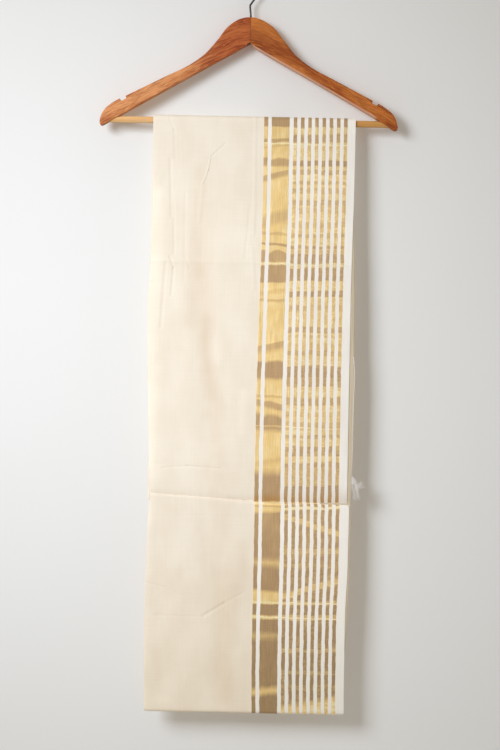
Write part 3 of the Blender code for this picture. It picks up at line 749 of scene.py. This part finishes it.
# Fine wrinkles in the field, in millimetres: from one point (across, along) to another, half width, height.
WRINKLES = [
    (-58, 35, -80, 56, 1.4, -0.36), (-80, 56, -83, 74, 1.3, 0.52), (-83, 74, -90, 94, 1.4, 0.46),
    (-90, 94, -94, 150, 3, 0.36), (-141, 1, -134, 16, 1.8, -0.34), (-134, 16, -132, 60, 2.3, -0.3),
    (-139, 60, -136, 145, 2.4, -0.46), (-133, 125, -130, 200, 2.3, -0.36),
    (-136, 205, -130, 222, 2.1, -0.5), (-130, 222, -132, 262, 2.3, -0.5), (-142, 215, -146, 310, 2.8, -0.5),
    (-116, 110, -114, 240, 2.5, -0.26), (-114, 204, -106, 222, 1.5, -0.3), (-19, 130, -24, 205, 2.4, -0.28),
    (-14, 190, -9, 250, 3, 0.36), (-13, 0, -12.5, 170, 2.4, 0.34), (-161, 692.5, -131, 699.5, 1.6, -0.32),
    (-131, 699.5, -105, 712, 1.6, -0.14), (-145, 741, -78, 742, 2.2, -0.26),
    (-73, 741, -43, 722, 2.7, -0.64), (-43, 722, -15, 705, 2.4, -0.3), (-146, 640, -110, 641, 1.4, -0.1),
    (-139, 521, -100, 517.2, 1.7, -0.3), (-100, 517.2, -52, 520.2, 1.7, -0.4), (30, 741, 136, 744, 1, 0.14),
    (-150, 592, -10, 592, 1.2, -0.08)]

# Soft darker bands of painted shade, of soft folds and of the folded edges behind that show through the thin
# cloth, and paler bands of painted highlight, most along the left edge: the same columns, but the last says
# how dark, in thousandths, and below 0 how pale. The corner's two are painted shade above the lower crease
# and stop at it.
SHADES = [
    (-156, 110, -163, 600, 9, -70), (-97, 75, -98, 300, 11, 40), (-96, 110, -98, 262, 11, 42),
    (-82, 130, -82, 250, 11, 45), (-86, 225, -70, 440, 12, 42), (-80, 268, -73, 412, 11, 45),
    (-78, 300, -75, 370, 11, 40), (-62, 375, -55, 500, 11, 50), (-58, 400, -57, 470, 11, 38),
    (-50, 535, -45, 650, 36, 45), (-44, 680, -42, 880, 18, 58), (-42, 712, -40, 860, 15, 55),
    (-25, 700, -24, 780, 10, 50), (-142, 795, -140, 835, 6, 40), (-150, 370, -150, 530, 9, -35),
    (-21, 405, -21, 465, 6, -45), (-18, 635, -19, 695, 10, 55), (-146, 868, -128, 868, 7, -35)]
CORNER_SHADES = [(20, 566, 137, 569.5, 16, 60), (130, 566, 140, 569.5, 18, 90)]


def line_marks(s, across, along, marks):
    """Each mark is full on its line and fades smoothly to nothing at 1.7 half widths from it. The place
    along the line is held between its ends, and the distance to that place gives the mark."""
    total = across * 0.0
    for x0, d0, x1, d1, half_width, height in in_metres(marks):
        run_x, run_d = x1 - x0, d1 - d0
        length = run_x ** 2 + run_d ** 2
        part = s.scaled(along, run_d / length, -(x0 * run_x + d0 * run_d) / length)
        share = s.scaled(across, run_x / length, part, True)
        aside = s.point(s.scaled(share, -run_x, across), s.scaled(share, -run_d, along))
        gap = s.node("ShaderNodeVectorMath", {"operation": "DISTANCE"}, {0: aside, 1: (x0, d0, 0.0)}, 1)
        sockets = {"Value": gap, "From Max": 1.7 * half_width, "To Min": height, "To Max": 0.0}
        total = total + s.node("ShaderNodeMapRange", {"interpolation_type": "SMOOTHSTEP"}, sockets)
    return total


def saree_finish():
    """Plain weave with slubs in both directions. The zari stripes take a painted reflection: gold where they
    catch the lamp and brown where they face away, in uneven stretches that lean and bow from stripe to
    stripe.
    The field and the selvage take painted shade in soft bands, of folds and of the folded edges behind, with
    paler bands of painted highlight, and the wrinkles are relief."""
    material, s = new_finish("saree_cotton_zari", Sheen_Weight=0.1, Specular_IOR_Level=0.25)
    across, along = s.cloth_place()
    folded = s.node("ShaderNodeMath", {"operation": "PINGPONG"}, {0: along, 1: TURN_PLACE})
    slub_across = s.noise(across * 16, along * 620, 0.0, 3.0)
    slub_along = s.noise(across * 560, along * 13, 3.0, 3.0)
    cloudy = s.noise(across * 26, along * 15, 5.0, 3.0)
    wobble = (s.noise(across * 70, along * 60, 8.0, 2.0) - 0.5) * 0.0022
    u = across + wobble
    wide = u.between(*WIDE_STRIPE, STRIPE_EDGE)
    first = u.between(0.0, FIRST_STRIPE, STRIPE_EDGE)
    cell = (u - THIN_FIRST) * (1 / THIN_PITCH)
    in_cell = (cell.part() * THIN_PITCH).between(0.0002, THIN_WIDTH, STRIPE_EDGE)
    thin = in_cell * u.between(0.0435, 0.1255, 0.0002)
    zari = wide.max(first).max(thin)
    number = cell.whole() * thin
    sway = s.noise(across * 9, folded * 15, along * 2, 2.0) - 0.5
    jump = s.noise(number * 0.9 + 3, folded * 30, along * 3 + 4, 2.0) - 0.5
    ripple = s.noise(across * 75, folded * 110, along * 4 + 7, 2.0) - 0.5
    place = folded + sway * 0.006 + ripple * 0.004
    middle = across - 0.0249
    share = middle * (1 / 0.0134)
    dome = share * share * wide
    # Painted dark reflection in the wide stripe: brown where the zari faces away from the lamp.
    brown = across * 0.0
    for start, end, depth, lean, domed, soft_top, soft_end in in_metres(DARK_REFLECTION_STRETCHES, (2, 3)):
        here = place + middle * lean if lean else place
        top = here - dome * domed if domed else here
        inside = top.rise(start - soft_top, start + soft_top) * here.rise(end + soft_end, end - soft_end)
        brown = brown.max(inside * depth)
    place_thin = folded + (across - 0.103) * 0.018 + sway * 0.005 + jump * 0.0055 + ripple * 0.005
    # The same painted dark reflection in the thin stripes, less where the leaning bands of painted gold
    # reflection cross.
    brown_thin = across * 0.0
    for start, end, depth in in_metres(THIN_DARK_REFLECTION_STRETCHES, (2,)):
        begun = place_thin.rise(start - 0.0009, start + 0.0009)
        inside = begun * place_thin.rise(end + 0.0011, end - 0.0011)
        brown_thin = brown_thin.max(inside * depth)
    for depth, lean, half_width in LEANING_BANDS:
        aside = (0.1225 - THIN_FIRST - (number + 0.25) * THIN_PITCH) * lean
        band = (place_thin + aside).between(depth - half_width, depth + half_width, 0.0012)
        brown_thin = brown_thin - band * 0.75
    # The painted reflection broken into flecks and patches along the thin stripes.
    speckle = s.noise(across * 200, folded * 280, along * 5 + 2, 2.0) - 0.5
    patch = s.noise(number * 0.8 + 5, folded * 70, along * 3 + 9, 1.0) - 0.5
    brown_thin = brown_thin + speckle * 1.05 + patch * 0.7
    threads = s.noise(across * 130, folded * 850, 9.0, 2.0) - 0.5
    ribs = s.noise(across * 820, folded * 26, 12.0, 2.0) - 0.5
    # Painted sheen: soft lighter and darker areas in the zari's reflection.
    glow = s.noise(across * 60, folded * 45, along + 15, 3.0) - 0.5
    brown = brown * (1 - thin) + brown_thin * thin + threads * 0.35 + glow * 0.5
    # Painted glints: thin light lines across the zari, at the depths in the table.
    painted_glint = across * 0.0
    for line in PAINTED_GLINT_LINES:
        painted_glint = painted_glint.max((place - across * 0.018 + 0.0005).hump(line, 0.001))
    # Painted reflection: gold along the thin stripes near the bottom fold.
    corner = (folded + across * 0.18 + sway * 0.01).rise(0.876, 0.89) * thin
    # The share of painted lamp reflection in the zari: gold at 1, brown at 0.
    painted_reflection_share = (1 - brown + painted_glint * (0.65 + speckle * 1.4) + corner * 0.85).max(0.0).min(1.35)
    # Painted shade: the brown zari, and below it the cream, darker towards the bottom, as the light falls
    # off.
    low = folded.rise(0.55, 0.88)
    # Painted shade at the lower crease: the brown zari more orange just above it.
    warm = folded.between(0.5585, 0.5695, 0.004)
    dark_reflection_zari = s.blend(low, (0.5, 0.325, 0.172, 1), (0.385, 0.25, 0.126, 1))
    dark_reflection_zari = s.blend(warm * 0.6, dark_reflection_zari, (0.52, 0.285, 0.095, 1))
    # The zari painted between its dark reflection and its gold reflection of the lamp.
    gold = s.blend(painted_reflection_share, dark_reflection_zari, (0.86, 0.61, 0.265, 1))
    # Painted highlight: paler gold where the painted reflection goes past full.
    gold = s.blend((painted_reflection_share - 0.95).max(0.0) * 1.9, gold, (1.0, 0.87, 0.56, 1))
    # Painted reflection: the gold lighter lower down and darker near the top.
    lighter = folded.rise(0.2, 0.66) * painted_reflection_share.min(1.0) * 0.15 - folded.rise(0.1, 0.02) * 0.11
    gold = s.dim(gold, 0.98 + ribs * 0.55 + threads * 0.3 + lighter)
    in_border = u.rise(-STRIPE_EDGE, STRIPE_EDGE)
    cream = s.blend(cloudy.rise(0.3, 0.7), (0.895, 0.806, 0.697, 1), (0.852, 0.753, 0.635, 1))
    white = s.blend(cloudy.rise(0.3, 0.7), (0.88, 0.84, 0.8, 1), (0.835, 0.79, 0.75, 1))
    # Painted shade: the cream darker near the top, under the bar.
    cream = s.blend(folded.rise(0.17, 0.02) * 0.45, cream, s.dim(cream, 0.93))
    cream = s.blend(low, cream, (0.985, 0.972, 0.935, 1), "MULTIPLY")
    # Painted shade: the white darker and warmer from the lower crease down, more so towards the bottom.
    white = s.blend(folded.rise(0.52, 0.68) * 0.8, white, (0.925, 0.88, 0.835, 1))
    white = s.blend(folded.rise(0.7, 0.89) * 0.7, white, (0.8, 0.765, 0.695, 1))
    plain = s.blend(in_border, cream, white)
    above = folded.rise(0.5705, 0.569)
    shade = line_marks(s, across, folded, SHADES) + line_marks(s, across, folded, CORNER_SHADES) * above
    # Painted shade along the bottom, where the cloth turns under at the fold.
    shade = shade + folded.rise(0.874, 0.888) * 0.05
    plain = s.blend(shade * 5, plain, (0.87, 0.805, 0.745, 1), "MULTIPLY")
    # The bands below 0 add painted highlight: they make the cloth paler.
    strength = 0.945 + slub_across * 0.06 + (slub_along - 0.2) * (0.07 + in_border * 0.08) - shade.min(0.0)
    plain = s.dim(plain, strength + in_border * 0.03 * folded.between(0.571, 0.62, 0.004))
    colour = s.blend(zari, plain, gold)
    metal = zari * (0.2 + painted_reflection_share.min(1.0) * 0.4)
    rough = 0.86 - zari * (0.28 + painted_reflection_share.min(1.0) * 0.16)
    weave = (across * (2 * math.pi / WEAVE_PITCH)).sine() * (along * (2 * math.pi / WEAVE_PITCH)).sine()
    height = weave * 0.000012 + slub_across * 0.00008 + slub_along * 0.00008 + cloudy * 0.0006
    height = height + zari * (0.00006 + ribs * 0.00012) + line_marks(s, across, along, WRINKLES)
    finish_with(material, height, Base_Color=colour, Metallic=metal, Roughness=rough)
    return material


cloth = saree_finish()
points, faces, uv = outer_cloth()
saree = new_piece("saree_outer_layer", points, faces, cloth, uv)
wall = saree.modifiers.new("cloth", "SOLIDIFY")
wall.thickness = CLOTH
wall.offset = -1
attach(saree, "root")
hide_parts("saree_front_outer", "saree_back_outer")


# The inner layers: the rest of the folded length, four folds deep on each side of the bottom fold. Only
# their rounded edges show, side by side behind the outer layer, left and right, from the front to the back.
INNER_FOLDS = 4
TURNED_IN = 0.005


def inner_folds(hand):
    """The edge of the inner layers as one sheet in zigzag. Each of its folds is half a circle across its
    share of the stack, with the cloth going 5 mm in on both sides of it, and the folds wander in and out by
    a millimetre, as sines of different lengths."""
    front = np.arange(FIRST_DEPTH, FOLD_DEPTH[FRONT], 0.0085)
    inner = np.arange(INNER_TOP[FRONT] + 0.004, FOLD_DEPTH[FRONT], 0.011)
    back = np.append(np.arange(FIRST_DEPTH, 0.564, 0.0085), 0.5655)
    line = saree_line(front, inner, back, 8)
    depth, loose = line[:, DEPTH, None], line[:, LOOSENESS, None]
    is_back, run = line[:, SIDE, None] > 0, line[:, RUN, None]
    near = 0.0012 + 0.0009 * loose
    if hand > 0:
        near = 0.0009 + 0.0011 * ease(depth, 0.17, 0.22) * np.where(is_back, 0, 1)
    behind, before = (table(STACK[side], THICKNESS, depth) for side in (BACK, FRONT))
    whole = np.where(is_back, behind, before / 2)
    far = np.maximum(whole - 0.0001, near + 0.0008)
    over_bar = 0.0026 + 0 * depth
    far = np.where(depth < 0.001, over_bar, far + (over_bar - far) * (1 - ease(depth, 0.0, 0.05)))
    edge = edge_of(line, LEFT if hand < 0 else RIGHT)
    angle = np.radians(np.linspace(-90, 90, 7))[None, :]
    pitch = (far - near) / INNER_FOLDS
    numbers = np.random.default_rng(5 + hand)
    columns_x, columns_in = [], []
    for fold in range(INNER_FOLDS):
        lengths = numbers.uniform(0.07, 0.45, 3)
        starts = numbers.uniform(0, 2 * math.pi, 3)
        wander = sum(np.sin(run * 2 * math.pi / long + at) for long, at in zip(lengths, starts))
        inset = (0.0011 + 0.00035 * wander) * (0.4 + 0.6 * loose) + 0.0004 * fold
        half = pitch * 0.46
        centre = near + (fold + 0.5) * pitch
        tip = edge - hand * inset
        x = tip - hand * half * (1 - np.cos(angle))
        root = tip - hand * (TURNED_IN + 0 * half)
        columns_x += [root, x, root]
        columns_in += [centre - half, centre + half * np.sin(angle), centre + half]
    x = np.concatenate(columns_x, 1)
    inwards = np.concatenate(columns_in, 1)
    uv = weave_uv(-0.02 - inwards * 3, pattern_place(line))
    return on_stack(line, x, inwards), grid_faces(*x.shape), uv


def inner_finish(name, tint, lines=0.035, line_scale=2500):
    """The field's plain weave again, with slubs along the fold, and a little darker here and there. Strong
    lines, as on the second layer, are painted light and dark lines along its fold.
    """
    material, s = new_finish(name, Roughness=0.88, Sheen_Weight=0.1, Specular_IOR_Level=0.25)
    across, along = s.cloth_place()
    slub_across = s.noise(across * 120, along * 1300, 0.0, 2.0)
    slub_along = s.noise(across * line_scale, along * 9, 3.0, 2.0)
    cloudy = s.noise(across * 80, along * 12, 5.0, 2.0)
    dark = tuple(c * 0.9 for c in tint[:3]) + (1,)
    light = 0.965 + slub_across * 0.035 + (slub_along - 0.5) * lines
    colour = s.dim(s.blend(cloudy * 0.5, tint, dark), light)
    height = slub_across * 0.00004 + slub_along * 0.00005 + cloudy * 0.0002
    finish_with(material, height, Base_Color=colour)
    return material


inner_cotton = inner_finish("saree_cotton_inner", (0.835, 0.75, 0.61, 1))
for name, hand in (("left", -1), ("right", 1)):
    points, faces, uv = inner_folds(hand)
    if hand > 0:
        faces = [f[::-1] for f in faces]
    folds = new_piece("saree_inner_folds_" + name, points, faces, inner_cotton, uv)
    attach(folds, "root")
    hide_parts("saree_front_layers", "saree_back_layers")


# The second layer's folded edge: the cloth turns back under the outer layer, and its fold stands out a few
# millimetres past the selvage at the right. It is plain cream cotton, soft and a little uneven, painted
# darker as painted shade, as it lies behind the selvage and turns away from the lamp, with painted light
# and dark lines along its fold.
# Depth and x of the edge, in millimetres.
SECOND_EDGE = [
    (100, 159.2), (118, 159.7), (140, 160.2), (213, 162), (268, 163.4), (330, 164), (387, 165.5),
    (447, 165.2), (507, 164.8), (566, 164.4), (625, 164), (715, 162.6), (800, 159.1), (860, 158.5)]
SECOND_INNER_X = 0.118
SECOND_DEPTHS = (0.1, 0.8601)
SECOND_RADIUS = 0.00055


def second_fold():
    """A strip folded once: a leaf behind the outer layer from the inner line to the edge, half a circle,
    and a leaf back behind it. Its edge follows the table, with a small sine along it."""
    depth = np.arange(*SECOND_DEPTHS, 0.004)
    one = np.ones(len(depth))
    face = table(STACK[FRONT], FACE, depth)
    line = np.stack((-face, -depth, -one, 0 * one, depth, -one, ease(depth, *LOOSE), -depth), -1)
    edge = (table(SECOND_EDGE, 1, depth) + 0.00025 * np.sin(depth * 130 + np.sin(depth * 41)))[:, None]
    radius = SECOND_RADIUS
    near = radius + 0 * edge
    share = np.linspace(0, 1, 7)[None, :]
    leaf = SECOND_INNER_X + share * (edge - radius - SECOND_INNER_X)
    angle = np.linspace(-math.pi / 2, math.pi / 2, 9)[None, 1:-1]
    fold_x = edge - radius + radius * np.cos(angle)
    fold_in = near + radius + radius * np.sin(angle)
    x = np.concatenate((leaf, fold_x, leaf[:, ::-1]), 1)
    inwards = np.concatenate((near + 0 * leaf, fold_in, near + 2 * radius + 0 * leaf), 1)
    run = np.concatenate((leaf, edge - radius + radius * (angle + math.pi / 2), 2 * edge - leaf[:, ::-1]), 1)
    return on_stack(line, x, inwards), grid_faces(*x.shape), weave_uv(run - 0.35, depth[:, None])


points, faces, uv = second_fold()
# Painted shade: the same cream cotton, painted darker, with strong painted light and dark lines along the
# fold.
second_cotton_painted_shade = inner_finish("saree_cotton_second_painted_shade", (0.62, 0.525, 0.39, 1), 0.6, 620)
fold = new_piece("saree_second_layer", points, faces, second_cotton_painted_shade, uv)
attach(fold, "root")
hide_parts("saree_second_fold")


# The cut ends at the bottom of the back drop: the saree's last inches, four layers that end beside the short
# fold, not hemmed, so their warp threads have worked loose. A few of them hang out at the right.
CUT_DEPTHS = (0.515, 0.566)
CUT_LEAVES = 4
CUT_SIDE_GAP = 0.0015
LEAF_PITCH = 0.00075
LEAF_GRID = (12, 44)


def cut_ends():
    """Four flat leaves, one behind the other across the stack, that wave by 0.3 mm and end at depths that
    differ by a millimetre or two."""
    numbers = np.random.default_rng(11)
    points, faces, uv = [], [], []
    share = np.linspace(0, 1, LEAF_GRID[0])[:, None]
    across = np.linspace(0, 1, LEAF_GRID[1])[None, :]
    for leaf in range(CUT_LEAVES):
        end = CUT_DEPTHS[1] - numbers.uniform(0.0, 0.0035)
        phase = numbers.uniform(0, 6, 3)
        fray = 0.0007 * np.sin(across * 31 + phase[0]) + 0.0005 * np.sin(across * 77 + phase[1])
        depth = CUT_DEPTHS[0] + share * (end + fray - CUT_DEPTHS[0])
        left = table(EDGES[BACK], LEFT, depth) + CUT_SIDE_GAP
        right = table(EDGES[BACK], RIGHT, depth) - CUT_SIDE_GAP
        x = left + across * (right - left)
        face = table(STACK[BACK], FACE, depth)
        inwards = 0.004 + LEAF_PITCH * leaf + 0.00025 * share * np.sin(across * 23 + phase[2])
        y = face - inwards + crease_push(BACK, x, depth)
        first = sum(len(p) for p in points)
        points.append(np.stack((x, y, -depth - BAR_DROP), -1).reshape(-1, 3))
        faces += grid_faces(*LEAF_GRID, first)
        border = table(EDGES[BACK], BORDER, depth)
        uv.append(weave_uv(x - border, -depth - 0.09).reshape(-1, 2))
    return np.concatenate(points), faces, np.concatenate(uv)


# The tuft at the right edge, in millimetres: x and depth of a strand's beginning, bend and end, five kinds.
TUFT = [
    (163.4, 526.9, 167, 532.5, 171.2, 539.5), (165.8, 531.2, 173.7, 550, 180, 538.5),
    (170, 538, 174, 550, 170.2, 560.2), (172, 540, 171.2, 551, 175.2, 560.1),
    (165.1, 530.4, 164, 546, 171.5, 552)]
# The loose yarn above it, along the second layer's edge, in millimetres: depths, and x.
YARN = [
    (349.5, 359.9, 371.9, 389.8, 410.8, 434.7, 467.6, 496.1, 527.5),
    (163.6, 164.6, 166.1, 166, 165.1, 164.9, 165, 164.8, 164)]
END_THREADS = 96
TUFT_THREADS = 147
THREAD_SIDES = 5
THREAD_POINTS = 14
THREAD_RADII = {"end": 0.00011, "tuft": 0.00024, "yarn": 0.00055}


def loose_threads():
    """Threads as fine tubes. Those at the cut ends run down and drift by a sine; a strand of the tuft is a
    quadratic curve from its beginning past its bend to its end; the circle round each has five points."""
    numbers = np.random.default_rng(23)
    tuft, yarn = np.array(in_metres(TUFT)), in_metres(YARN)
    points, faces = [], []
    turn = round_turn(THREAD_SIDES)
    t = np.linspace(0, 1, THREAD_POINTS)
    for thread in range(END_THREADS + TUFT_THREADS + 1):
        drift = numbers.normal(0, 1, 6)
        if thread < END_THREADS:
            thick = THREAD_RADII["end"]
            x0, d0, length = numbers.uniform(-0.136, 0.158), 0.563, numbers.uniform(0.003, 0.008)
            x = x0 + 0.0012 * t * drift[0] + 0.0006 * np.sin(t * 5 + drift[1])
            depth = d0 + length * t
            y = 0.0048 - 0.0023 * numbers.uniform() + 0.0005 * t * drift[2]
        elif thread < END_THREADS + TUFT_THREADS:
            thick = THREAD_RADII["tuft"]
            begin, middle, end = (tuft[thread % len(tuft), i:i + 2] + numbers.normal(0, spread, 2)
                                  for i, spread in ((0, 0.0008), (2, 0.0022), (4, 0.0024)))
            curve = np.outer(begin, (1 - t) ** 2) + np.outer(middle, 2 * t * (1 - t))
            x, depth = curve + np.outer(end, t * t)
            y = -0.0088 + 0.0015 * drift[4] * t + 0.001 * np.sin(t * 5 + drift[5]) * t
        else:
            thick = THREAD_RADII["yarn"]
            depth = 0.3495 + 0.178 * t
            x = smooth_line(*yarn, depth)
            y = -0.0113 + 0 * t
        middle = np.stack((x + 0 * t, y + 0 * t, -depth - BAR_DROP), -1)
        ahead = unit(np.gradient(middle, axis=0))
        side = unit(np.cross(ahead, (0.0, 1.0, 0.0)))
        other = np.cross(ahead, side)
        radius = thick * (1 - 0.5 * t)[:, None, None]
        ring = side[:, None] * np.cos(turn)[:, None] + other[:, None] * np.sin(turn)[:, None]
        first = thread * THREAD_POINTS * THREAD_SIDES
        points.append((middle[:, None] + radius * ring).reshape(-1, 3))
        faces += grid_faces(THREAD_POINTS, THREAD_SIDES, first, ring=True)
        near_cap, far_cap = np.array(end_caps(THREAD_POINTS, THREAD_SIDES)) + first
        faces += [near_cap[::-1].tolist(), far_cap.tolist()]
    return np.concatenate(points), faces


points, faces, uv = cut_ends()
ends = new_piece("saree_cut_ends", points, faces, cloth, uv)
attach(ends, "root")

thread, s = new_finish("saree_loose_thread", Roughness=0.8, Sheen_Weight=0.3)
x, y, z = s.place()
pale = s.noise(x * 300, y * 300, z * 300, 1.0)
finish_with(thread, Base_Color=s.blend(pale, (0.88, 0.84, 0.82, 1), (0.74, 0.7, 0.68, 1)))
fringe = new_piece("saree_loose_threads", *loose_threads(), thread)
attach(fringe, "root")


# The room: a pale floor well below, and a pale wall that takes the soft shadow. The wall bends nearer at
# the hanger, so its shadow is sharper there. From behind it is clear and takes no part in the light.
def plain_stage(name, profile, colour, clear_behind):
    """A sheet 18 m wide through a line of points in y and z, with faint unevenness in its paint."""
    material, s = new_finish("paint_" + name, Roughness=0.9, Specular_IOR_Level=0.1)
    x, y, z = s.place()
    cloudy = s.noise(x * 3, y * 3, z * 3, 2.0)
    finish_with(material, Base_Color=s.dim(colour, 0.985 + cloudy * 0.03))
    if clear_behind:
        tree = material.node_tree
        shader = tree.nodes["Principled BSDF"]
        behind = Shade(tree, tree.nodes.new("ShaderNodeNewGeometry").outputs["Backfacing"])
        clear = s.node("ShaderNodeBsdfTransparent")
        both = s.node("ShaderNodeMixShader", (), {0: behind, 1: Shade(tree, shader.outputs[0]), 2: clear})
        tree.links.new(both.socket, tree.nodes["Material Output"].inputs["Surface"])
    points = [(x, y, z) for y, z in profile for x in (-9, 9)]
    sheet = new_piece(name, points, grid_faces(len(profile), 2), material)
    return sheet


plain_stage("floor", [(-9, -1.75), (9, -1.75)], (0.8, 0.8, 0.79), False)
WALL_HEIGHTS = [-1.75, -1.1, -0.85, -0.63, -0.45, -0.34, -0.27, -0.2, -0.15, -0.1, -0.05, 0.02, 0.1, 0.6, 4]
WALL_BEHIND = [60, 51, 47, 43.5, 40, 37, 33, 27, 22.5, 18.5, 15, 13, 12, 12, 12]
wall_line = list(zip(in_metres([WALL_BEHIND])[0], WALL_HEIGHTS))
backdrop = plain_stage("backdrop", wall_line, (0.794, 0.79, 0.797), True)
backdrop.visible_shadow = False
backdrop.visible_diffuse = False
backdrop.visible_glossy = False
backdrop.visible_transmission = False


# The light: one large soft lamp at the left in front, a weak one above, one behind, and a pale world.
# The camera stands 3 m straight in front, turned 1.15 degrees, as the photograph is.
def soft_lamp(name, place, target, size, power, colour, spread):
    """A square lamp at a place, turned towards a target."""
    light = bpy.data.lights.new(name, "AREA")
    light.size = size
    light.energy = power
    light.color = colour
    light.spread = math.radians(spread)
    lamp = bpy.data.objects.new(name, light)
    lamp.location = place
    lamp.rotation_euler = (Vector(target) - Vector(place)).to_track_quat("-Z", "Y").to_euler()
    bpy.context.scene.collection.objects.link(lamp)


soft_lamp("lamp_left", (-1.2, -1.85, 0.1), (-0.24, 0, -0.56), 0.9, 5.7, (0.88, 0.94, 1.0), 60)
soft_lamp("lamp_above", (0.2, -0.6, 2.2), (0, 0, -0.2), 1.6, 3, (1.0, 0.97, 0.92), 180)
soft_lamp("lamp_behind", (-1.2, 2.4, 0.8), (0, 0, -0.6), 2.0, 30, (1.0, 0.98, 0.95), 180)
world = bpy.data.worlds.new("studio")
world.use_nodes = True
world.node_tree.nodes["Background"].inputs["Color"].default_value = (1.0, 0.93, 0.8, 1)
world.node_tree.nodes["Background"].inputs["Strength"].default_value = 0.49
bpy.context.scene.world = world
bpy.context.scene.view_settings.view_transform = "Standard"

lens = bpy.data.cameras.new("camera")
lens.lens = 96.3
camera = bpy.data.objects.new("camera", lens)
camera.location = (0.0095, -3.009, -0.5954)
camera.rotation_euler = (math.radians(90), math.radians(-1.15), 0)
bpy.context.scene.collection.objects.link(camera)
bpy.context.scene.camera = camera
